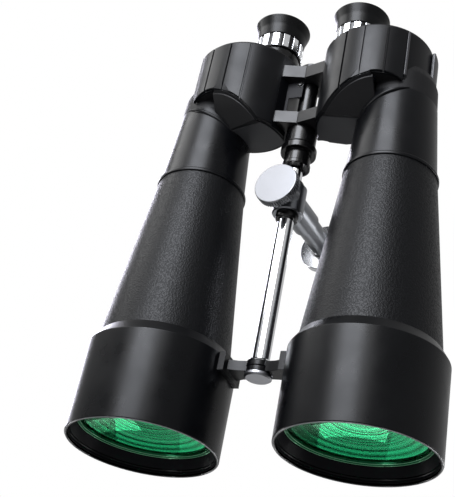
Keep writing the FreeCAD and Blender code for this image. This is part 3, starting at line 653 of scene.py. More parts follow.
# Aluminium in stoved enamel: smoother than the hood's spray, with one clean, long highlight.
NECK_PAINT = Finish("smooth_neck_enamel_black", "#06070A", "#090A0E", roughness=0.3, specular=0.12,
                    grain_mm=0.6, relief_mm=0.003)
# Die casting sprayed black: a dull black with a fine grain that hides the casting's skin.
CAST_PAINT = Finish("sprayed_die_cast_black", "#121214", "#171719", roughness=0.5, specular=0.12,
                    grain_mm=0.45, relief_mm=0.01)
# Moulded rubber: satin black, smooth from the mould, with weak and blurred reflections.
GRIP_RUBBER = Finish("moulded_grip_rubber", "#07080B", "#0A0B0F", roughness=0.33, specular=0.12,
                     grain_mm=0.3, relief_mm=0.008)
# The same rubber with a painted highlight on its raised fins: a dull grey line down the side of the grip.
FIN_HIGHLIGHT_PAINT = Finish("painted_highlight_fin_rubber", "#3E3E42", "#353539", specular=0.3, grain_mm=0.3)
# Castings in satin lacquer: black, but bright enough to tell one flat face from the next.
BRACKET_GREY = Finish("satin_bracket_lacquer", "#121214", "#18181A", roughness=0.38, specular=0.24,
                      grain_mm=0.4, relief_mm=0.006)
# Painted light on the flat plate under the prisms: a dull mid grey next to the black casting.
BOSS_LIGHT_PAINT = Finish("painted_light_prism_plate", "#2C2D30", "#333437", roughness=0.5, specular=0.25,
                   grain_mm=0.4, relief_mm=0.006)
# Soft moulded rubber: nearly black, with one blurred light on its flare.
CUP_RUBBER = Finish("soft_eyecup_rubber", "#060709", "#0A0B0D", roughness=0.3, specular=0.12,
                    grain_mm=0.25)
# Moulded nylon: plain black, smooth and slightly waxy.
NYLON = Finish("black_nylon", "#0A0A0B", "#101012", roughness=0.3, specular=0.3)
# Hard chrome on ground steel: a mirror with very fine rings, streaked bright and dark down its length.
CHROME = TurnedMetal("hard_chrome_on_steel", "#E9EAEC", "#DADBDE", metallic=1.0, roughness=0.07,
                     spread=0.02, grain_mm=0.8, relief_mm=0.0006)
# Plated pads polished by hand: bright, with a tone that drifts from one pad to the next.
PAD_CHROME = Finish("polished_ring_pad", "#F1F2F4", "#C9CBCF", metallic=1.0, roughness=0.16,
                    patch_mm=9.0, relief_mm=0.001)
# Turned aluminium with a satin cut across the post's own axis: grey, with soft-edged reflections.
SATIN_ALUMINIUM = TurnedMetal("satin_turned_aluminium", "#737579", "#606266", metallic=1.0,
                              roughness=0.3, spread=0.02, grain_mm=0.6, relief_mm=0.0005,
                              along=(0.102, 0.995, 0.0))
# Bead-blasted aluminium: an even, pearly grey face with no direction in it.
PEARL_ALUMINIUM = Finish("bead_blasted_knob_aluminium", "#797A7D", "#6F7073", metallic=0.95,
                         roughness=0.37, grain_mm=0.3, relief_mm=0.004)
# Zinc alloy with a satin finish: a light grey whose reflections are blurred away.
CAP_METAL = Finish("satin_zinc_cap", "#8C8D91", "#7C7D81", metallic=1.0, roughness=0.38, grain_mm=0.4)
# Painted highlight: a thin, broken, pale line painted along the very edge of the hood's rim.
RIM_HIGHLIGHT_PAINT = Finish("painted_rim_highlight", "#5C5D60", "#8A8B8E", metallic=0.6, roughness=0.35, patch_mm=12.0)
# Green coating on a polished concave face: a mirror that returns only green, in streaks.
# A darker slanting zone on it is a painted reflection of the dark mount, and a paler one a painted
# highlight.
LENS_GREEN = LensCoating("green_lens_coating", "#32B886", "#053A24", metallic=1.0, roughness=0.0,
                         spread=0.0, patch_mm=30.0, relief_mm=0.0)
# Painted reflection of the lens's edge: fine, pale green lines.
LENS_EDGE_REFLECTION = Finish("painted_lens_edge_reflection", "#9FD8B4", "#7FC79B", metallic=0.7, roughness=0.3, patch_mm=14.0)
# Spacer ring painted with the coating's green light, a painted reflection: a dark, even green.
SPACER_GREEN_LIGHT_PAINT = Finish("lens_spacer_painted_green_light", "#0B5C38", "#0D6B42", metallic=0.6, roughness=0.3,
                      specular=0.3)
# Polished optical glass under its bloom: clear. Its index stays near 1 and not at glass's 1.5, because
# the bloom takes away most of the reflection and the coated face behind it is drawn where it appears.
FRONT_GLASS = ClearGlass("optical_glass", "#E4F8EC", "#8FF0BF", roughness=0.0)
# Polished glass with a blue coating: dark blue with a sharp, clear glint.
CLEAR_LENS = Finish("blue_coated_eye_lens", "#20304A", "#1B2A42", metallic=0.6, roughness=0.04,
                    spread=0.01, coat=1.0, coat_roughness=0.02, relief_mm=0.0002)
# Drawn aluminium left bare: a plain, light grey metal.
BARE_ALUMINIUM = Finish("bare_aluminium_tube", "#9A9C9F", "#8B8D90", metallic=1.0)
# Aluminium polished on the wheel: bright, with reflections that are only a little soft.
FLANGE_METAL = Finish("polished_foot_flange", "#D4D5D8", "#C2C3C7", metallic=1.0, roughness=0.22,
                      grain_mm=0.4, relief_mm=0.001)
# Spring steel as it was rolled: mid grey and half bright.
SPRING_STEEL = Finish("spring_steel", "#8F9093", "#7F8083", metallic=1.0, roughness=0.3)

# Finish of each CAD node that keeps its own shape, without its half's name.
KEPT_FINISHES = {
    "barrel_tube": BARE_ALUMINIUM, "front_prism": CLEAR_LENS, "rear_prism": CLEAR_LENS,
    "prism_shelf": BARE_ALUMINIUM, "prism_clips": SPRING_STEEL, "cover_screws": SPRING_STEEL,
    "eyepiece_barrel": ANODISED, "field_lens": CLEAR_LENS, "eye_lens": CLEAR_LENS, "knob_washer": NYLON,
    "hinge_axle": ANODISED, "front_washer": CHROME,
}


def dress(piece: Piece, finish: Finish, body: str, slot: str, *nodes: str) -> Piece:
    """Give a piece its finish, its body and the CAD nodes it stands for.

    Args:
        piece: The finished piece.
        finish: Its surface.
        body: CAD body it rides on.
        slot: Material slot of the record; not used.
        nodes: CAD nodes it replaces.

    Returns:
        The piece.
    """
    if not piece.data.materials:
        piece.data.materials.append(finish.material())
    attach(piece, body)
    if nodes:
        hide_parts(*nodes)
    log.info("%s on %s, %d faces", piece.name, body, len(piece.data.polygons))
    return piece


# ---------------------------------------------------------------- geometry trees


def new_tree(name: str, *labels: str) -> tuple[Tree, Node]:
    """Start a Geometry Nodes tree with named inputs, the last of them its material.

    Args:
        name: Name of the tree.
        labels: Names of its sizes; Count is a whole number.

    Returns:
        The tree and its input node.
    """
    tree = bpy.data.node_groups.new(name, "GeometryNodeTree")
    tree.interface.new_socket(name="Geometry", in_out="INPUT", socket_type="NodeSocketGeometry")
    for label in labels:
        kind = "NodeSocketInt" if label == "Count" else "NodeSocketFloat"
        tree.interface.new_socket(name=label, in_out="INPUT", socket_type=kind)
    tree.interface.new_socket(name="Material", in_out="INPUT", socket_type="NodeSocketMaterial")
    tree.interface.new_socket(name="Geometry", in_out="OUTPUT", socket_type="NodeSocketGeometry")
    return tree, add(tree, "NodeGroupInput")


def close_tree(tree: Tree, source: Socket, material: Socket) -> None:
    """End a tree in Realize Instances and Set Material.

    Args:
        tree: Tree that is ended.
        source: Its geometry.
        material: Its material.
    """
    real = add(tree, "GeometryNodeRealizeInstances", {"Geometry": source})
    dressed = add(tree, "GeometryNodeSetMaterial", {"Geometry": real.outputs[0], "Material": material})
    add(tree, "NodeGroupOutput", {0: dressed.outputs[0]})


def plain_mesh(piece: Piece) -> Mesh:
    """Mesh of a piece as its modifiers leave it."""
    graph = bpy.context.evaluated_depsgraph_get()
    return bpy.data.meshes.new_from_object(piece.evaluated_get(graph))


def grown(name: str, seed_mesh: Mesh, tree: Tree, values: Values) -> Piece:
    """Run a tree on a mesh and keep the result as a plain mesh.

    Args:
        name: Name of the piece.
        seed_mesh: Mesh that the tree starts from.
        tree: Geometry Nodes tree.
        values: Value of each named input.

    Returns:
        The piece, without modifiers.
    """
    piece = object_of(name, seed_mesh)
    grower = piece.modifiers.new("grower", "NODES")
    grower.node_group = tree
    for item in tree.interface.items_tree:
        if item.in_out == "INPUT" and item.name in values:
            grower[item.identifier] = values[item.name]
    piece.data.update()
    mesh = plain_mesh(piece)
    piece.modifiers.remove(grower)
    piece.data = mesh
    mesh.name = name
    return piece


@cache
def ring_tree() -> Tree:
    """Make the tree that repeats a shape round the Z axis at even steps.

    Returns:
        The tree.
    """
    tree, given = new_tree("repeat_round_axis", "Count", "Radius", "First Angle", "Step Angle")
    index = add(tree, "GeometryNodeInputIndex")
    angle = add(tree, MATH, {
        0: index.outputs[0], 1: given.outputs["Step Angle"], 2: given.outputs["First Angle"]},
        operation="MULTIPLY_ADD")
    turn = add(tree, MATH, {0: angle.outputs[0]}, operation="RADIANS")
    cosine = add(tree, MATH, {0: turn.outputs[0]}, operation="COSINE")
    sine = add(tree, MATH, {0: turn.outputs[0]}, operation="SINE")
    unit = add(tree, COMBINE, {0: cosine.outputs[0], 1: sine.outputs[0]})
    spot = add(tree, VECTOR_MATH, {0: unit.outputs[0], "Scale": given.outputs["Radius"]},
               operation="SCALE")
    points = add(tree, "GeometryNodePoints", {
        "Count": given.outputs["Count"], "Position": spot.outputs[0]})
    facing = add(tree, COMBINE, {2: turn.outputs[0]})
    copies = add(tree, "GeometryNodeInstanceOnPoints", {
        "Points": points.outputs[0], "Instance": given.outputs["Geometry"], "Rotation": facing.outputs[0]})
    close_tree(tree, copies.outputs[0], given.outputs["Material"])
    return tree


@cache
def nested_rings_tree() -> Tree:
    """Make the tree of fine round rings, each smaller and higher than the one before.

    Returns:
        The tree.
    """
    wire_facets = 8
    tree, given = new_tree("nested_rings", "Count", "Radius", "Radius Step", "Height", "Height Step",
                           "Thickness")
    index = add(tree, "GeometryNodeInputIndex")
    shrink = add(tree, MATH, {0: index.outputs[0], 1: given.outputs["Radius Step"]}, operation="MULTIPLY")
    radius = add(tree, MATH, {0: given.outputs["Radius"], 1: shrink.outputs[0]}, operation="SUBTRACT")
    height = add(tree, MATH, {
        0: index.outputs[0], 1: given.outputs["Height Step"], 2: given.outputs["Height"]},
        operation="MULTIPLY_ADD")
    spot = add(tree, COMBINE, {2: height.outputs[0]})
    points = add(tree, "GeometryNodePoints", {
        "Count": given.outputs["Count"], "Position": spot.outputs[0]})
    circle = add(tree, "GeometryNodeCurvePrimitiveCircle", {"Resolution": ROUND_SEGMENTS, "Radius": 1.0})
    size = add(tree, COMBINE, {0: radius.outputs[0], 1: radius.outputs[0], 2: 1.0})
    circles = add(tree, "GeometryNodeInstanceOnPoints", {
        "Points": points.outputs[0], "Instance": circle.outputs[0], "Scale": size.outputs[0]})
    curves = add(tree, "GeometryNodeRealizeInstances", {"Geometry": circles.outputs[0]})
    wire = add(tree, "GeometryNodeCurvePrimitiveCircle", {
        "Resolution": wire_facets, "Radius": given.outputs["Thickness"]})
    swept = add(tree, "GeometryNodeCurveToMesh", {
        "Curve": curves.outputs[0], "Profile Curve": wire.outputs[0]})
    close_tree(tree, swept.outputs[0], given.outputs["Material"])
    return tree


@cache
def bead_tree() -> Tree:
    """Make the tree of a round bead that runs part of the way round the Z axis and fades at its ends.

    Returns:
        The tree.
    """
    arc_steps, wire_facets = 72, 16
    fade_start, end_size = 0.3, 0.1
    tree, given = new_tree("sloping_bead", "Radius", "Height", "Slope X", "Slope Y", "First Angle",
                           "Sweep", "Thickness")
    first = add(tree, MATH, {0: given.outputs["First Angle"]}, operation="RADIANS")
    sweep = add(tree, MATH, {0: given.outputs["Sweep"]}, operation="RADIANS")
    arc = add(tree, "GeometryNodeCurveArc", {
        "Resolution": arc_steps, "Radius": given.outputs["Radius"], "Start Angle": first.outputs[0],
        "Sweep Angle": sweep.outputs[0]})
    place = add(tree, SEPARATE, {0: add(tree, "GeometryNodeInputPosition").outputs[0]})
    away = add(tree, MATH, {0: place.outputs[1]}, operation="ABSOLUTE")
    along = add(tree, MATH, {
        0: place.outputs[0], 1: given.outputs["Slope X"], 2: given.outputs["Height"]},
        operation="MULTIPLY_ADD")
    height = add(tree, MATH, {0: away.outputs[0], 1: given.outputs["Slope Y"], 2: along.outputs[0]},
                 operation="MULTIPLY_ADD")
    shift = add(tree, COMBINE, {2: height.outputs[0]})
    raised = add(tree, "GeometryNodeSetPosition", {"Geometry": arc.outputs[0], "Offset": shift.outputs[0]})
    share = add(tree, "GeometryNodeSplineParameter")
    centred = add(tree, MATH, {0: share.outputs[0], 1: 0.5}, operation="SUBTRACT")
    outward = add(tree, MATH, {0: centred.outputs[0]}, operation="ABSOLUTE")
    fade = add(tree, MAP_RANGE, {
        "Value": outward.outputs[0], "From Min": fade_start, "From Max": 0.5, "To Min": 1.0,
        "To Max": end_size})
    wire = add(tree, "GeometryNodeCurvePrimitiveCircle", {
        "Resolution": wire_facets, "Radius": given.outputs["Thickness"]})
    swept = add(tree, "GeometryNodeCurveToMesh", {
        "Curve": raised.outputs[0], "Profile Curve": wire.outputs[0], "Scale": fade.outputs[0],
        "Fill Caps": True})
    smooth = add(tree, "GeometryNodeSetShadeSmooth", {"Geometry": swept.outputs[0], "Shade Smooth": True})
    close_tree(tree, smooth.outputs[0], given.outputs["Material"])
    return tree


def slab(name: str, depth: float, width: float, low: float, high: float, edge: float) -> Mesh:
    """Make a small block that faces +X, with rounded edges.

    Args:
        name: Name of the mesh.
        depth: Size along X; the block stands half of it each way.
        width: Size along Y.
        low: Lower end in Z.
        high: Upper end in Z.
        edge: Radius of its edges.

    Returns:
        The mesh, in millimetres.
    """
    mesh = bpy.data.meshes.new(name)
    with editing(mesh) as shape:
        bmesh.ops.create_cube(shape, size=1.0)
        for vert in shape.verts:
            x, y, z = vert.co
            vert.co = (x * depth, y * width, low + (z + 0.5) * (high - low))
        bmesh.ops.bevel(shape, geom=shape.edges[:], offset=edge, segments=2, profile=0.5, affect="EDGES")
        bmesh.ops.recalc_face_normals(shape, faces=shape.faces)
        for face in shape.faces:
            face.smooth = True
    return mesh


def ring_of(name: str, unit: Mesh, count: int, radius: float, first: float, step: float,
            finish: Finish, axis: Axis) -> Piece:
    """Repeat a small shape round an axis.

    Args:
        name: Name of the piece.
        unit: Shape that faces +X at radius 0.
        count: Number of copies.
        radius: Distance from the axis.
        first: Angle of the first copy, in degrees.
        step: Angle between copies, in degrees.
        finish: Surface of the copies.
        axis: The axis.

    Returns:
        The piece, in place.
    """
    values = {"Count": count, "Radius": radius, "First Angle": first, "Step Angle": step,
              "Material": finish.material()}
    piece = settle(grown(name, unit, ring_tree(), values), axis)
    keep_flats(piece)
    return piece


# ---------------------------------------------------------------- sub-assemblies


@dataclass
class ObjectiveHood:
    """Front end of one half: hood, black liner, lens ring and the coated front lens.

    Heights are above the rim. The liner is a cone between two (radius, height) places, and front_curve and
    rear_curve are the radii of the two faces of the lens.
    """

    side: Side
    radius: float = 48.0
    wall: float = 1.7
    shoulder_z: float = 58.2
    top_z: float = 65.7
    top_radius: float = 43.2
    cell_radius: float = 45.7
    cone_low: Point = (46.2, 3.4)
    cone_high: Point = (43.4, 10.6)
    lens_radius: float = 41.7
    lens_steps: int = 24
    front_z: float = 8.9
    front_curve: float = 190.0
    rear_z: float = 24.5
    rear_curve: float = 90.0
    coat_gap: float = 0.06
    coat_back: float = 1.4
    line_count: int = 2
    line_step: float = 1.5
    line_rise: float = 0.6
    line_size: float = 0.19

    def build(self) -> None:
        """Build and dress every piece of the hood."""
        axis = axis_of(self.side.of("objective_hood"))
        half = self.side.of("half")
        tube = self.top_radius - 1.5
        inner = self.radius - self.wall
        shell = turned(self.side.of("hood_shell"), [
            (inner, 0.25, 0.0), (self.radius - 0.5, 0.25, 0.0), (self.radius, 0.75, 0.3),
            (self.radius, self.shoulder_z, 1.2), (self.top_radius, self.top_z, 0.7),
            (tube, self.top_z, 0.0), (tube, self.shoulder_z - 6.0, 0.0),
            (self.cell_radius, self.shoulder_z - 10.0, 0.0), (self.cell_radius, 4.2, 0.0),
            (inner, 3.4, 0.3),
        ], axis, WIDE_SEGMENTS)
        dress(shell, HOOD_PAINT, half, "hood_black", self.side.of("objective_hood"))
        # The rim's pale colour is a painted highlight.
        rim = turned(self.side.of("hood_rim"), [
            (inner + 0.55, 0.0, 0.2), (self.radius - 0.55, 0.0, 0.3), (self.radius - 0.35, 0.4, 0.1),
            (inner + 0.5, 0.5, 0.1)], axis, WIDE_SEGMENTS, steps=3)
        dress(rim, RIM_HIGHLIGHT_PAINT, half, "hood_black")
        (low, low_z), (high, high_z) = self.cone_low, self.cone_high
        liner = turned(self.side.of("hood_liner"), [
            (low + 0.04, 0.5, 0.0), (low, low_z, 0.8), (high, high_z, 0.4), (high, high_z + 4.0, 0.0),
            (high + 0.9, high_z + 4.0, 0.0), (low + 0.08, low_z + 1.4, 0.0)], axis, WIDE_SEGMENTS)
        dress(liner, BLACKING_AND_SHADE, half, "anodised_black", self.side.of("objective_cell"))
        self.lens(axis, half)
        self.spacer(axis, half)

    @staticmethod
    def sag(radius: float, curve: float) -> float:
        """Depth of a ball of the given curve at a distance from its axis."""
        return curve - math.sqrt(curve ** 2 - radius ** 2)

    def lens(self, axis: Axis, half: str) -> None:
        """Build the clear front lens and the coated face behind it.

        Args:
            axis: Axis of the barrel.
            half: Body that the lens rides on.
        """
        steps = [self.lens_radius * k / self.lens_steps for k in range(self.lens_steps + 1)]
        front = [(r, self.front_z + self.sag(r, self.front_curve), 0.0) for r in steps]
        rear = [(r, self.rear_z - self.sag(r, self.rear_curve), 0.0) for r in steps]
        glass = turned(self.side.of("front_lens"), front + rear[::-1], axis, WIDE_SEGMENTS)
        dress(glass, FRONT_GLASS, half, "clear_glass", self.side.of("crown_lens"))
        face = [(r, z + self.coat_gap, 0.0) for r, z, _ in rear]
        back = [(r, z + self.coat_back, 0.0) for r, z, _ in rear[::-1]]
        coated = turned(self.side.of("coated_face"), face + back, axis, WIDE_SEGMENTS)
        dress(coated, LENS_GREEN, half, "coated_glass", self.side.of("flint_lens"))

    def spacer(self, axis: Axis, half: str) -> None:
        """Build the ring round the lens's edge, and on it the fine lines of its painted reflection.

        Args:
            axis: Axis of the barrel.
            half: Body that the ring rides on.
        """
        edge = self.lens_radius
        wide, low = self.cone_high[0] - 0.1, self.cone_high[1] + 0.4
        # The ring's dark green is painted light from the coating.
        ring = turned(self.side.of("lens_spacer"), [
            (wide, low, 0.2), (wide, low + 6.0, 0.0), (edge + 0.1, low + 6.0, 0.0),
            (edge + 0.1, low + 2.2, 0.2), (edge + 0.4, low + 1.0, 0.2)], axis, WIDE_SEGMENTS)
        dress(ring, SPACER_GREEN_LIGHT_PAINT, half, "anodised_black", self.side.of("retaining_ring"))
        # The fine pale lines are painted reflections of the lens's edge.
        values = {"Count": self.line_count, "Radius": wide - 0.35, "Radius Step": self.line_step,
                  "Height": low + 0.1, "Height Step": self.line_rise, "Thickness": self.line_size,
                  "Material": LENS_EDGE_REFLECTION.material()}
        lines = grown(self.side.of("lens_edge_lines"), bpy.data.meshes.new("lines"), nested_rings_tree(),
                      values)
        dress(settle(lines, axis), LENS_EDGE_REFLECTION, half, "coated_glass")


@dataclass
class Barrel:
    """Tapered body of one half: pebbled sleeve and smooth neck."""

    side: Side
    front_z: float = 65.7
    seam_z: float = 187.3
    neck_z: float = 246.0
    front_radius: float = 42.9
    rear_radius: float = 30.5
    wall: float = 1.2
    lip_radius: float = 31.4
    neck_front_radius: float = 30.0
    neck_rear_radius: float = 26.1

    def build(self) -> None:
        """Build and dress the sleeve and the neck."""
        axis = axis_of(self.side.of("barrel_armour"))
        half = self.side.of("half")
        sleeve = turned(self.side.of("leatherette"), [
            (self.front_radius - self.wall, self.front_z, 0.0), (self.front_radius, self.front_z, 0.0),
            (self.rear_radius, self.seam_z, 0.0), (self.rear_radius - self.wall, self.seam_z, 0.0),
        ], axis, WIDE_SEGMENTS)
        dress(sleeve, VINYL, half, "pebbled_rubber", self.side.of("barrel_armour"))
        neck = turned(self.side.of("neck_shell"), [
            (self.rear_radius - self.wall, self.seam_z, 0.0), (self.lip_radius, self.seam_z, 0.7),
            (self.lip_radius, self.seam_z + 2.3, 0.9), (self.neck_front_radius, self.seam_z + 3.0, 0.8),
            (self.neck_rear_radius, self.neck_z, 0.0), (self.neck_rear_radius - 1.0, self.neck_z, 0.0),
            (self.neck_front_radius - 1.2, self.seam_z + 3.0, 0.0),
        ], axis)
        dress(neck, NECK_PAINT, half, "neck_black", self.side.of("neck_sleeve"))


@dataclass
class PrismHousing:
    """Die-cast housing of one half with its rubber, raised panels, fins, boss plate and rear cover.

    Angles are in degrees round the drum of the right half. Its belly is the plane of the sloping
    underside: its height at the hinge axis, and how much it climbs outwards and backwards. A panel is its
    first and last angle and its outer radius. The groove's half widths and the taper are degrees too.
    """

    side: Side
    drum_radius: float = 38.0
    root_radius: float = 37.4
    high_z: float = 294.2
    edge_z: float = 255.2
    boss_z: float = 230.0
    belly: Corner = (193.9, 0.388, -1.016)
    front_panel: Corner = (-150.0, -46.5, 39.4)
    outer_panel: Corner = (-3.5, 62.0, 40.6)
    outer_low: float = 268.0
    panel_bevel: float = 0.5
    groove_angles: tuple[float, ...] = (-110.5, -89.5, -66.5)
    groove_depth: float = 1.1
    groove_half: float = 1.1
    groove_floor: float = 0.25
    arc_steps: int = 90
    end_taper: float = 0.6
    crease_angle: float = 38.0
    notch_angle: float = -86.5
    notch_half: float = 9.5
    notch_drop: float = 4.5
    notch_rise: float = 9.0
    notch_depth: float = 1.3
    fin_angles: Point = (-44.6, -5.0)
    bead_span: Point = (-166.0, -60.0)
    bead_radius: float = 26.4
    bead_height: float = 235.2
    bead_slopes: Point = (0.416, 0.255)
    bead_size: float = 1.5
    plate_arc: Point = (222.0, 179.0)
    plate_steps: int = 24
    plate_outline: tuple[Point, ...] = (
        (19.6, 5.4), (24.0, 8.0), (30.9, 9.4), (41.0, 9.3), (46.0, 4.0), (46.0, -16.6))
    plate_inset: float = 1.3
    plate_low: float = 0.45
    plate_high: float = 0.4

    def build(self) -> None:
        """Build and dress every piece of the housing."""
        side = self.side
        half = side.of("half")
        drum = axis_of(side.of("rear_cover"))
        dress(softened(side.of("cast_housing"), side.of("prism_housing"), 0.5), CAST_PAINT, half,
              "housing_black", side.of("prism_housing"))
        dress(softened(side.of("cover_plate"), side.of("rear_cover"), 0.3), CAST_PAINT, half,
              "housing_black", side.of("rear_cover"))
        skin = self.notched(softened(side.of("rubber_skin"), side.of("grip_armour"), 0.4), drum)
        dress(skin, GRIP_RUBBER, half, "grip_rubber", side.of("grip_armour"))
        front = self.panel("front_panel", self.front_panel, drum, self.edge_z, self.groove_angles)
        dress(self.notched(front, drum), GRIP_RUBBER, half, "grip_rubber")
        outer = self.panel("outer_panel", self.outer_panel, drum, self.outer_low, ())
        dress(outer, GRIP_RUBBER, half, "grip_rubber")
        # The fins' pale grey is a painted highlight.
        fins = (("front_fin", self.fin_angles[0], self.edge_z, self.front_panel[2]),
                ("outer_fin", self.fin_angles[1], self.outer_low, self.outer_panel[2]))
        for name, angle, foot, radius in fins:
            blade = slab(name, 2.4, 1.9, foot + 0.5, self.high_z - 0.5, 0.5)
            fin = ring_of(side.of(name), blade, 1, radius - 0.9, self.angle(angle), 0.0, FIN_HIGHLIGHT_PAINT, drum)
            dress(fin, FIN_HIGHLIGHT_PAINT, half, "grip_rubber")
        # The boss plate's grey is painted light.
        dress(self.boss_plate(drum), BOSS_LIGHT_PAINT, half, "housing_black")
        self.bead(half)

    def bead(self, half: str) -> None:
        """Build the soft bead where the housing runs into the neck.

        Args:
            half: Body that the bead rides on.
        """
        start, end = (self.angle(turn) for turn in self.bead_span)
        values = {"Radius": self.bead_radius, "Height": self.bead_height, "First Angle": start,
                  "Sweep": end - start, "Slope X": self.side.value * self.bead_slopes[0],
                  "Slope Y": self.bead_slopes[1], "Thickness": self.bead_size,
                  "Material": NECK_PAINT.material()}
        bead = grown(self.side.of("neck_bead"), bpy.data.meshes.new("bead"), bead_tree(), values)
        dress(settle(bead, axis_of(self.side.of("barrel_armour"))), NECK_PAINT, half, "neck_black")

    def angle(self, value: float) -> float:
        """Angle round the drum, mirrored on the left half."""
        return value if self.side is Side.RIGHT else 180.0 - value

    def belly_z(self, drum: Axis, radius: float, turn: float) -> float:
        """Find the height of the housing's sloping underside at a place on the drum.

        Args:
            drum: Axis of the drum.
            radius: Distance from it.
            turn: Angle round it, in radians.

        Returns:
            The height.
        """
        hinge = axis_of("centre_rod")
        x = drum.x + radius * math.cos(turn) - hinge.x
        y = drum.y + radius * math.sin(turn) - hinge.y
        base, along, across = self.belly
        return base + along * abs(x) + across * y

    def panel(self, name: str, span: Corner, drum: Axis, low: float, grooves: Sequence[float]) -> Piece:
        """Make a raised rubber panel round part of the drum, down to the housing's own underside.

        Args:
            name: Name of the panel.
            span: First and last angle in degrees, and the outer radius.
            drum: Axis of the drum.
            low: Lowest edge where the underside is higher.
            grooves: Angles of its upright moulded grooves.

        Returns:
            The panel, in place.
        """
        first, last, radius = span
        wide, narrow = self.groove_half, self.groove_floor
        stops = {first + (last - first) * k / self.arc_steps for k in range(self.arc_steps + 1)}
        for groove in grooves:
            stops |= {groove - wide, groove - narrow, groove + narrow, groove + wide}
        stops |= {first + self.end_taper, last - self.end_taper}
        points, faces = [], []
        bevel = self.panel_bevel
        for stop in sorted(stops):
            reach = radius - bevel if stop in (first, last) else radius
            if any(abs(stop - groove) < wide * 0.9 for groove in grooves):
                reach = radius - self.groove_depth
            turn = math.radians(self.angle(stop))
            foot = low
            if low < self.outer_low:
                foot = max(self.boss_z + 0.8, min(low, self.belly_z(drum, radius, turn)))
            section = ((self.root_radius, foot), (reach - bevel, foot), (reach, foot + bevel),
                       (reach, self.high_z - bevel), (reach - bevel, self.high_z),
                       (self.root_radius, self.high_z))
            points += [(r * math.cos(turn), r * math.sin(turn), z) for r, z in section]
        sides = len(section)
        rows = len(points) // sides
        for row in range(rows - 1):
            for k in range(sides):
                here, beside = row * sides + k, row * sides + (k + 1) % sides
                faces.append((here, beside, beside + sides, here + sides))
        faces += [tuple(range(sides)), tuple(range((rows - 1) * sides, rows * sides))]
        piece = settle(object_of(self.side.of(name), mesh_of(name, points, faces)), drum)
        shade_by_angle(piece, self.crease_angle)
        return piece

    def notched(self, piece: Piece, drum: Axis) -> Piece:
        """Cut the three-sided notch under the middle groove.

        Args:
            piece: Rubber that is cut.
            drum: Axis of the drum.

        Returns:
            The same piece, with a plain new mesh.
        """
        turn = math.radians(self.angle(self.notch_angle))
        radius = self.front_panel[2]
        middle = self.belly_z(drum, radius, turn)
        wide, foot = self.notch_half, middle - self.notch_drop
        front, back = 2.0, -self.notch_depth
        wedge = mesh_of("notch", [
            (front, -wide, foot), (front, wide, foot), (back, wide - 0.5, foot), (back, 0.5 - wide, foot),
            (0.5, 0.0, middle + self.notch_rise)],
            [(0, 1, 2, 3), (0, 3, 4), (3, 2, 4), (2, 1, 4), (1, 0, 4)], smooth=False)
        tool = ring_of(self.side.of("notch_tool"), wedge, 1, radius, self.angle(self.notch_angle), 0.0,
                       GRIP_RUBBER, drum)
        carve = piece.modifiers.new("carve", "BOOLEAN")
        carve.operation = "DIFFERENCE"
        carve.solver = "EXACT"
        carve.object = tool
        mesh = plain_mesh(piece)
        piece.modifiers.clear()
        piece.data = mesh
        mesh.materials.clear()
        bpy.data.objects.remove(tool)
        shade_by_angle(piece, self.crease_angle)
        keep_flats(piece)
        return piece

    def boss_plate(self, drum: Axis) -> Piece:
        """Make the flat plate under the boss, a hair smaller than it, whose grey is painted light.

        Args:
            drum: Axis of the drum.

        Returns:
            The plate, in place.
        """
        sign = self.side.value
        hinge = axis_of("centre_rod")
        centre_x, centre_y = sign * (drum.x - hinge.x), drum.y - hinge.y
        radius = self.drum_radius - self.plate_inset
        start, end = self.plate_arc
        arc = []
        for step in range(self.plate_steps + 1):
            turn = math.radians(start + (end - start) * step / self.plate_steps)
            arc.append((centre_x + radius * math.cos(turn), centre_y + radius * math.sin(turn)))
        outline = [(sign * x, y) for x, y in (*arc, *self.plate_outline)]
        piece = plate(self.side.of("boss_plate"), outline, self.boss_z - self.plate_low,
                      self.boss_z + self.plate_high, hinge)
        break_edges(piece, 0.3, 50.0, segments=2)
        return piece


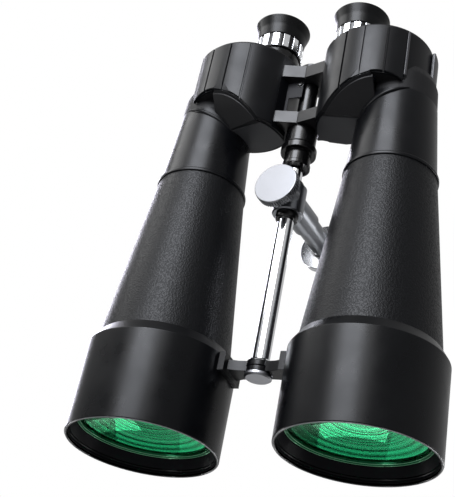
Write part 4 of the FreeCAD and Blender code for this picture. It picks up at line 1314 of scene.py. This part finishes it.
@dataclass
class Eyepiece:
    """Eyepiece of one half: sleeve, ribbed focus ring, and the flared cup."""

    side: Side
    ring_radius: float = 17.3
    ring_low: float = 308.0
    ring_high: float = 320.6
    bore: float = 15.45
    pad_count: int = 14
    pad_width: float = 4.5
    root_radius: float = 17.9
    rim_radius: float = 20.9
    cup_low: float = 321.0
    cup_high: float = 336.7
    cup_floor: float = 5.0
    cup_hole: float = 11.4
    barrel_radius: float = 13.9
    sleeve_bore: float = 13.56
    sleeve_foot: float = 17.9
    sleeve_radius: float = 16.9
    spigot_radius: float = 15.4
    sleeve_low: float = 297.6
    sleeve_high: float = 307.7
    spigot_high: float = 318.0

    def build(self) -> None:
        """Build and dress every piece of the eyepiece."""
        side = self.side
        axis = axis_of(side.of("eyecup"))
        ring_body = side.of("focus_ring_body")
        foot = self.sleeve_low
        sleeve = turned(side.of("sleeve_shell"), [
            (self.sleeve_bore, foot, 0.0), (self.sleeve_foot, foot, 0.2),
            (self.sleeve_foot, foot + 1.3, 0.3), (self.sleeve_radius, foot + 2.1, 0.3),
            (self.sleeve_radius - 0.6, self.sleeve_high, 0.4), (self.spigot_radius, self.sleeve_high, 0.0),
            (self.spigot_radius, self.spigot_high, 0.2), (self.sleeve_bore, self.spigot_high, 0.2)],
            axis, SMALL_SEGMENTS)
        dress(sleeve, ANODISED, side.of("half"), "anodised_black", side.of("focus_sleeve"))
        ring = turned(side.of("ring_core"), [
            (self.bore, self.ring_low, 0.2), (self.ring_radius, self.ring_low, 0.5),
            (self.ring_radius, self.ring_high, 0.5), (self.barrel_radius, self.ring_high, 0.2),
            (self.barrel_radius, self.spigot_high + 0.4, 0.0), (self.bore, self.spigot_high + 0.4, 0.0)],
            axis, SMALL_SEGMENTS)
        dress(ring, ANODISED, ring_body, "anodised_black", side.of("focus_ring"))
        pads = ring_of(side.of("ring_pads"),
                       slab("pad", 1.1, self.pad_width, self.ring_low + 0.5, self.ring_high - 0.5, 0.2),
                       self.pad_count, self.ring_radius + 0.1, 0.0, 360 / self.pad_count, PAD_CHROME, axis)
        dress(pads, PAD_CHROME, ring_body, "bright_chrome")
        low, high, root, rim = self.cup_low, self.cup_high, self.root_radius, self.rim_radius
        floor = low + self.cup_floor
        cup = turned(side.of("cup_skin"), [
            (15.5, low, 0.0), (root - 0.6, low, 0.3), (root - 0.3, low + 0.6, 0.4),
            (root + 0.8, low + 8.0, 14.0), (rim - 0.25, high - 1.3, 1.0),
            (rim, high - 0.4, 0.4), (rim - 0.5, high, 0.3), (rim - 1.9, high, 0.5),
            (root - 1.2, low + 7.6, 2.0), (14.5, floor + 1.2, 0.5), (self.cup_hole, floor + 1.2, 0.3),
            (self.cup_hole, floor, 0.0), (15.5, floor, 0.0)], axis, SMALL_SEGMENTS)
        dress(cup, CUP_RUBBER, side.of("ocular"), "eyecup_rubber", side.of("eyecup"))


@dataclass
class Brackets:
    """Grey hinge plates, black front arms and, on the left, the web plate in painted shade with its screw.

    The web's outline and the screw's place are (x, z), and its front and back are how far it stands
    towards -Y.
    """

    side: Side
    web_outline: tuple[Point, ...] = (
        (-16.3, 245.2), (-11.2, 245.2), (-11.2, 261.2), (-1.6, 261.2), (-1.6, 275.8), (-16.3, 275.8))
    web_front: float = 17.5
    web_back: float = 16.8
    screw: Point = (-3.9, 272.4)
    screw_radius: float = 2.4

    def build(self) -> None:
        """Soften and dress the hinge plates and the front arm."""
        half = self.side.of("half")
        dress(softened(self.side.of("hinge_plates"), self.side.of("hinge_lugs"), 0.35), BRACKET_GREY, half,
              "bracket_grey", self.side.of("hinge_lugs"))
        dress(softened(self.side.of("front_arm"), self.side.of("bridge_arm"), 0.3), HOOD_PAINT, half,
              "bracket_grey", self.side.of("bridge_arm"))
        if self.side is Side.LEFT:
            self.web()

    def web(self) -> None:
        """Build the plate in front of the hinge web and the screw in it; the plate's black is painted
        shade.
        """
        half = self.side.of("half")
        forward = (0.0, -1.0, 0.0)
        # The web plate's black is painted shade, and its lower leg is a dark strip of painted shade over
        # the rib.
        web = plate(self.side.of("web_plate"), self.web_outline, self.web_back, self.web_front,
                    Axis(0.0, 0.0, 0.0, forward), smooth=False)
        dress(web, BLACKING_AND_SHADE, half, "housing_black")
        size = self.screw_radius
        screw = turned(self.side.of("web_screw"), [
            (0.0, -0.1, 0.0), (size, -0.1, 0.0), (size, 0.35, 0.12), (size - 0.45, 0.35, 0.1),
            (size - 0.65, 0.1, 0.0), (0.0, 0.1, 0.0)],
            Axis(self.screw[0], -self.web_front, self.screw[1], forward), SMALL_SEGMENTS)
        dress(screw, ANODISED, half, "anodised_black")


@dataclass
class CentreSpine:
    """Fixed middle: chromed rod, grooved collar, end cap and axle nut."""

    rod_radius: float = 5.44
    axle_radius: float = 6.3
    rod_front: float = 49.2
    rod_rear: float = 214.0
    collar_front: float = 204.0
    collar_rear: float = 234.8
    collar_radius: float = 10.8
    flange_radius: float = 12.4
    neck_radius: float = 9.2
    cap_radius: float = 8.7
    cap_front: float = 46.6

    def build(self) -> None:
        """Build and dress every piece of the spine."""
        axis = axis_of("centre_rod")
        rod = turned("chromed_rod", [
            (0.0, self.rod_front, 0.0), (self.rod_radius, self.rod_front, 0.0),
            (self.rod_radius, self.rod_rear, 0.0), (0.0, self.rod_rear, 0.0)], axis, SMALL_SEGMENTS)
        dress(rod, CHROME, "spine", "bright_chrome", "centre_rod")
        low = self.collar_front
        collar = turned("collar_shell", [
            (self.rod_radius, low, 0.0), (self.neck_radius + 0.5, low, 0.4),
            (self.neck_radius + 0.5, low + 2.8, 0.4), (self.neck_radius, low + 3.3, 0.2),
            (self.neck_radius, low + 11.6, 0.2), (self.flange_radius, low + 11.6, 0.6),
            (self.flange_radius, low + 16.8, 0.8), (self.collar_radius - 0.8, low + 16.8, 0.1),
            (self.collar_radius - 0.8, low + 18.0, 0.1), (self.collar_radius, low + 18.2, 0.3),
            (self.collar_radius, self.collar_rear, 0.6), (self.axle_radius, self.collar_rear, 0.0),
            (self.axle_radius, low + 10.5, 0.0), (self.rod_radius, low + 10.0, 0.0)], axis, SMALL_SEGMENTS)
        dress(collar, ANODISED, "spine", "anodised_black", "axle_collar")
        cap = turned("cap_disc", [
            (0.0, self.cap_front, 0.0), (self.cap_radius - 1.2, self.cap_front, 0.2),
            (self.cap_radius, self.cap_front + 0.9, 0.3), (self.cap_radius, self.rod_front, 0.3),
            (0.0, self.rod_front, 0.0)], axis, SMALL_SEGMENTS)
        dress(cap, CAP_METAL, "spine", "satin_aluminium", "rod_end_cap")
        dress(softened("nut_cap", "axle_nut", 0.3), ANODISED, "spine", "anodised_black", "axle_nut")


@dataclass
class TripodPost:
    """Post that slides on the rod: bush, head, thin post, foot pad and the clamp knob.

    Places called y, face or back are along the post's own axis, from the middle of the bush towards the
    foot, so the knob's are negative.
    """

    post_radius: float = 7.85
    stem_radius: float = 5.0
    stem_y: float = 14.0
    step_y: float = 28.0
    flange_y: float = 57.5
    back_y: float = 62.6
    pad_y: float = 64.0
    pad_hole: float = 5.0
    foot_radius: float = 17.8
    thread_radius: float = 3.175
    thread_depth: float = 11.0
    knob_radius: float = 15.3
    knob_face: float = -22.9
    knob_back: float = -16.4
    hub_radius: float = 8.0
    hub_back: float = -14.0
    shank_radius: float = 3.0
    shank_back: float = -8.2
    flutes: int = 52

    def build(self) -> None:
        """Build and dress every piece of the post."""
        rod = axis_of("centre_rod")
        low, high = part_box("slide_bush")
        travel = next(j for j in frame["joints"] if j["name"] == "knob_travel")["axis"]
        axis = Axis(rod.x, rod.y, (low.z + high.z) / 2 / MM, tuple(-value for value in travel))
        dress(softened("nylon_bush", "slide_bush", 0.3), NYLON, "post_slider", "nylon_black", "slide_bush")
        dress(softened("head_casting", "post_head", 0.6), SATIN_ALUMINIUM, "post", "satin_aluminium",
              "post_head")
        back, rim = self.back_y, self.foot_radius
        post = turned("thin_post", [
            (0.0, self.stem_y, 0.0), (self.stem_radius, self.stem_y, 0.0),
            (self.stem_radius, self.step_y, 0.0), (self.post_radius, self.step_y, 0.5),
            (self.post_radius, back, 0.0), (self.thread_radius, back, 0.2),
            (self.thread_radius, back - self.thread_depth, 0.0), (0.0, back - self.thread_depth, 0.0)],
            axis, SMALL_SEGMENTS)
        dress(post, SATIN_ALUMINIUM, "post", "satin_aluminium", "tripod_post")
        flange = turned("foot_flange", [
            (self.post_radius, self.flange_y - 0.8, 0.2), (self.post_radius + 1.2, self.flange_y, 0.6),
            (rim, self.flange_y, 0.7), (rim, back - 1.8, 0.2), (rim - 0.6, back - 1.6, 0.1),
            (rim - 0.6, back - 1.0, 0.1), (rim, back - 0.9, 0.1), (rim, back, 0.3),
            (self.post_radius, back, 0.0)], axis, SMALL_SEGMENTS)
        dress(flange, FLANGE_METAL, "post", "satin_aluminium")
        pad = turned("foot_disc", [
            (self.pad_hole, back, 0.0), (rim - 1.2, back, 0.0), (rim - 1.2, self.pad_y, 0.5),
            (self.pad_hole, self.pad_y, 0.3)], axis, SMALL_SEGMENTS)
        dress(pad, GRIP_RUBBER, "post", "nylon_black", "foot_pad")
        knob = turned("knob_core", [
            (0.0, self.knob_face, 0.0), (self.knob_radius - 0.2, self.knob_face, 0.7),
            (self.knob_radius - 0.2, self.knob_face + 1.2, 0.1),
            (self.knob_radius - 1.2, self.knob_face + 1.3, 0.1),
            (self.knob_radius - 1.2, self.knob_back, 0.6), (self.hub_radius, self.knob_back, 0.2),
            (self.hub_radius, self.hub_back, 0.0), (self.shank_radius, self.hub_back, 0.0),
            (self.shank_radius, self.shank_back, 0.0), (0.0, self.shank_back, 0.0)], axis)
        dress(knob, PEARL_ALUMINIUM, "knob", "satin_aluminium", "clamp_knob")
        flute = slab("flute", 1.4, 1.0, self.knob_face + 1.4, self.knob_back - 0.4, 0.2)
        ribs = ring_of("knob_flutes", flute, self.flutes, self.knob_radius - 0.7, 0.0, 360 / self.flutes,
                       SATIN_ALUMINIUM, axis)
        dress(ribs, SATIN_ALUMINIUM, "knob", "satin_aluminium")


def dress_kept_nodes() -> None:
    """Give each CAD node that still shows its own finish."""
    for name, node in frame["nodes"].items():
        if node.hide_render:
            continue
        finish = KEPT_FINISHES.get(name.removeprefix("left_").removeprefix("right_"), ANODISED)
        node.data.materials.clear()
        node.data.materials.append(finish.material())
        log.info("%s keeps its CAD shape in %s", name, finish.name)


# ---------------------------------------------------------------- studio


@dataclass(frozen=True)
class SoftBox:
    """A rectangular soft lamp that looks at the middle of the object; a card shows in reflections only."""

    name: str
    direction: Corner
    width: float
    height: float
    power: float
    colour: str = "#FFFFFF"
    glossy_only: bool = True
    distance: float = 1.5

    def place(self, centre: Vector) -> None:
        """Put the lamp in its place.

        Args:
            centre: Middle of the object.
        """
        lamp = bpy.data.lights.new(self.name, "AREA")
        lamp.shape = "RECTANGLE"
        lamp.size = self.width
        lamp.size_y = self.height
        lamp.energy = self.power
        lamp.color = linear(self.colour)[:3]
        rig = bpy.data.objects.new(self.name, lamp)
        rig.visible_diffuse = not self.glossy_only
        bpy.context.scene.collection.objects.link(rig)
        way = Vector(self.direction).normalized()
        rig.rotation_mode = "QUATERNION"
        rig.rotation_quaternion = way.to_track_quat("Z", "Y")
        rig.location = centre + way * self.distance


@dataclass
class Studio:
    """Pale floor, white surroundings, soft lamps and the camera. Its sizes are in metres."""

    floor_half: float = 4.0
    floor_drop: float = 0.0003
    floor_lift: float = 0.45
    floor_fade: Point = (0.22, 0.62)
    fibre_mm: float = 2.5
    ambient: float = 0.35
    gloss: float = 0.58
    eye: Corner = (0.2430, -0.5415, -0.2069)
    eye_right: Corner = (0.91786, 0.35632, 0.17481)
    eye_forward: Corner = (-0.39307, 0.75513, 0.52466)
    focal_length: float = 75.64
    eye_shift: Point = (-0.0232, -0.0539)
    lamps: tuple[SoftBox, ...] = (
        SoftBox("wide_front_box", (-0.05, -0.86, 0.52), 1.5, 0.9, 18.0, glossy_only=False),
        SoftBox("front_card", (-0.07, -0.84, 0.54), 0.78, 1.1, 46.0, "#F2F6FF"),
        SoftBox("left_top_card", (-0.74, -0.32, 0.62), 0.9, 0.7, 9.5),
        SoftBox("left_card", (-0.70, 0.50, 0.50), 0.5, 1.0, 14.0, "#F1EFFF"),
        SoftBox("low_back_card", (-0.133, 0.679, -0.722), 0.64, 0.5, 2.4, distance=1.49),
        SoftBox("low_right_card", (0.80, 0.55, -0.27), 0.35, 0.5, 7.0),
        SoftBox("low_left_card", (-0.95, 0.15, -0.27), 0.35, 0.5, 7.0),
        SoftBox("low_far_card", (0.30, 0.92, -0.27), 0.25, 0.4, 3.0),
        SoftBox("low_front_card", (-0.45, -0.85, -0.27), 0.35, 0.5, 7.0),
    )

    def build(self) -> None:
        """Build the studio."""
        low, high = CAD_BOX
        centre = (low + high) / 2
        for lamp in self.lamps:
            lamp.place(centre)
        self.floor(low.z)
        self.world()
        self.camera()

    def floor(self, height: float) -> None:
        """Lay the pale floor, which hides nothing from below and fades away with distance.

        Args:
            height: Where the object stands.
        """
        half, z = self.floor_half, height - self.floor_drop
        mesh = bpy.data.meshes.new("studio_floor")
        corners = [(-half, -half, z), (half, -half, z), (half, half, z), (-half, half, z)]
        mesh.from_pydata(corners, [], [(0, 1, 2, 3)])
        floor = object_of("studio_floor", mesh)
        paper = bpy.data.materials.new("pale_paper_backdrop")
        tree = blank_tree(paper)
        points = add(tree, OBJECT_POINTS).outputs["Object"]
        fibres = add(tree, NOISE, {"Vector": points, "Scale": scale_for(self.fibre_mm)})
        tone = add(tree, COLOUR_MIX, {
            0: fibres.outputs[0], 6: linear("#F2F2F3"), 7: linear("#F6F6F6")}, data_type="RGBA")
        shell = add(tree, "ShaderNodeBsdfDiffuse", {"Color": tone.outputs[2]})
        clear = add(tree, "ShaderNodeBsdfTransparent")
        path = add(tree, "ShaderNodeLightPath")
        side = add(tree, "ShaderNodeNewGeometry")
        see = add(tree, MATH, {
            0: path.outputs["Is Glossy Ray"], 1: path.outputs["Is Transmission Ray"]}, operation="MAXIMUM")
        away = add(tree, VECTOR_MATH, {0: points}, operation="LENGTH")
        near, far = self.floor_fade
        fade = add(tree, MAP_RANGE, {"Value": away.outputs["Value"], "From Min": near, "From Max": far},
                   interpolation_type="SMOOTHSTEP")
        unseen = add(tree, MATH, {0: see.outputs[0], 1: side.outputs["Backfacing"]}, operation="MAXIMUM")
        through = add(tree, MATH, {0: unseen.outputs[0], 1: fade.outputs[0]}, operation="MAXIMUM")
        lift = add(tree, MATH, {0: path.outputs["Is Camera Ray"], 1: self.floor_lift},
                   operation="MULTIPLY")
        glow = add(tree, "ShaderNodeEmission", {"Color": linear("#FFFFFF"), "Strength": lift.outputs[0]})
        lit = add(tree, "ShaderNodeAddShader", {0: shell.outputs[0], 1: glow.outputs[0]})
        mix = add(tree, "ShaderNodeMixShader", {
            0: through.outputs[0], 1: lit.outputs[0], 2: clear.outputs[0]})
        add(tree, "ShaderNodeOutputMaterial", {"Surface": mix.outputs[0]})
        mesh.materials.append(paper)

    def world(self) -> None:
        """White surroundings for the eye and for reflections, and a plain soft fill."""
        world = bpy.data.worlds.new("white_surroundings")
        bpy.context.scene.world = world
        tree = blank_tree(world)
        path = add(tree, "ShaderNodeLightPath")
        shown = add(tree, MATH, {
            0: path.outputs["Is Camera Ray"], 1: path.outputs["Is Transmission Ray"]}, operation="MAXIMUM")
        shiny = add(tree, MATH, {
            0: path.outputs["Is Glossy Ray"], 1: self.gloss - self.ambient, 2: self.ambient},
            operation="MULTIPLY_ADD")
        strength = add(tree, MATH, {0: shown.outputs[0], 1: shiny.outputs[0]}, operation="MAXIMUM")
        sky = add(tree, "ShaderNodeBackground", {
            "Color": linear("#FFFFFF"), "Strength": strength.outputs[0]})
        add(tree, "ShaderNodeOutputWorld", {"Surface": sky.outputs[0]})

    def camera(self) -> None:
        """Camera in front of and below the rims, looking up the barrels."""
        lens = bpy.data.cameras.new("camera")
        lens.lens = self.focal_length
        lens.sensor_width = 36.0
        lens.shift_x, lens.shift_y = self.eye_shift
        lens.clip_start = 0.01
        eye = bpy.data.objects.new("camera", lens)
        bpy.context.scene.collection.objects.link(eye)
        right = Vector(self.eye_right).normalized()
        forward = Vector(self.eye_forward).normalized()
        turn = Matrix((right, right.cross(forward), -forward)).transposed().to_4x4()
        eye.matrix_world = Matrix.Translation(Vector(self.eye)) @ turn
        bpy.context.scene.camera = eye


def main() -> None:
    """Build the binoculars and the studio."""
    bpy.context.scene.view_settings.view_transform = "Standard"
    for side in Side:
        for part in (ObjectiveHood(side), Barrel(side), PrismHousing(side), Eyepiece(side), Brackets(side)):
            part.build()
    CentreSpine().build()
    TripodPost().build()
    dress_kept_nodes()
    Studio().build()


if __name__ == "__main__":
    main()
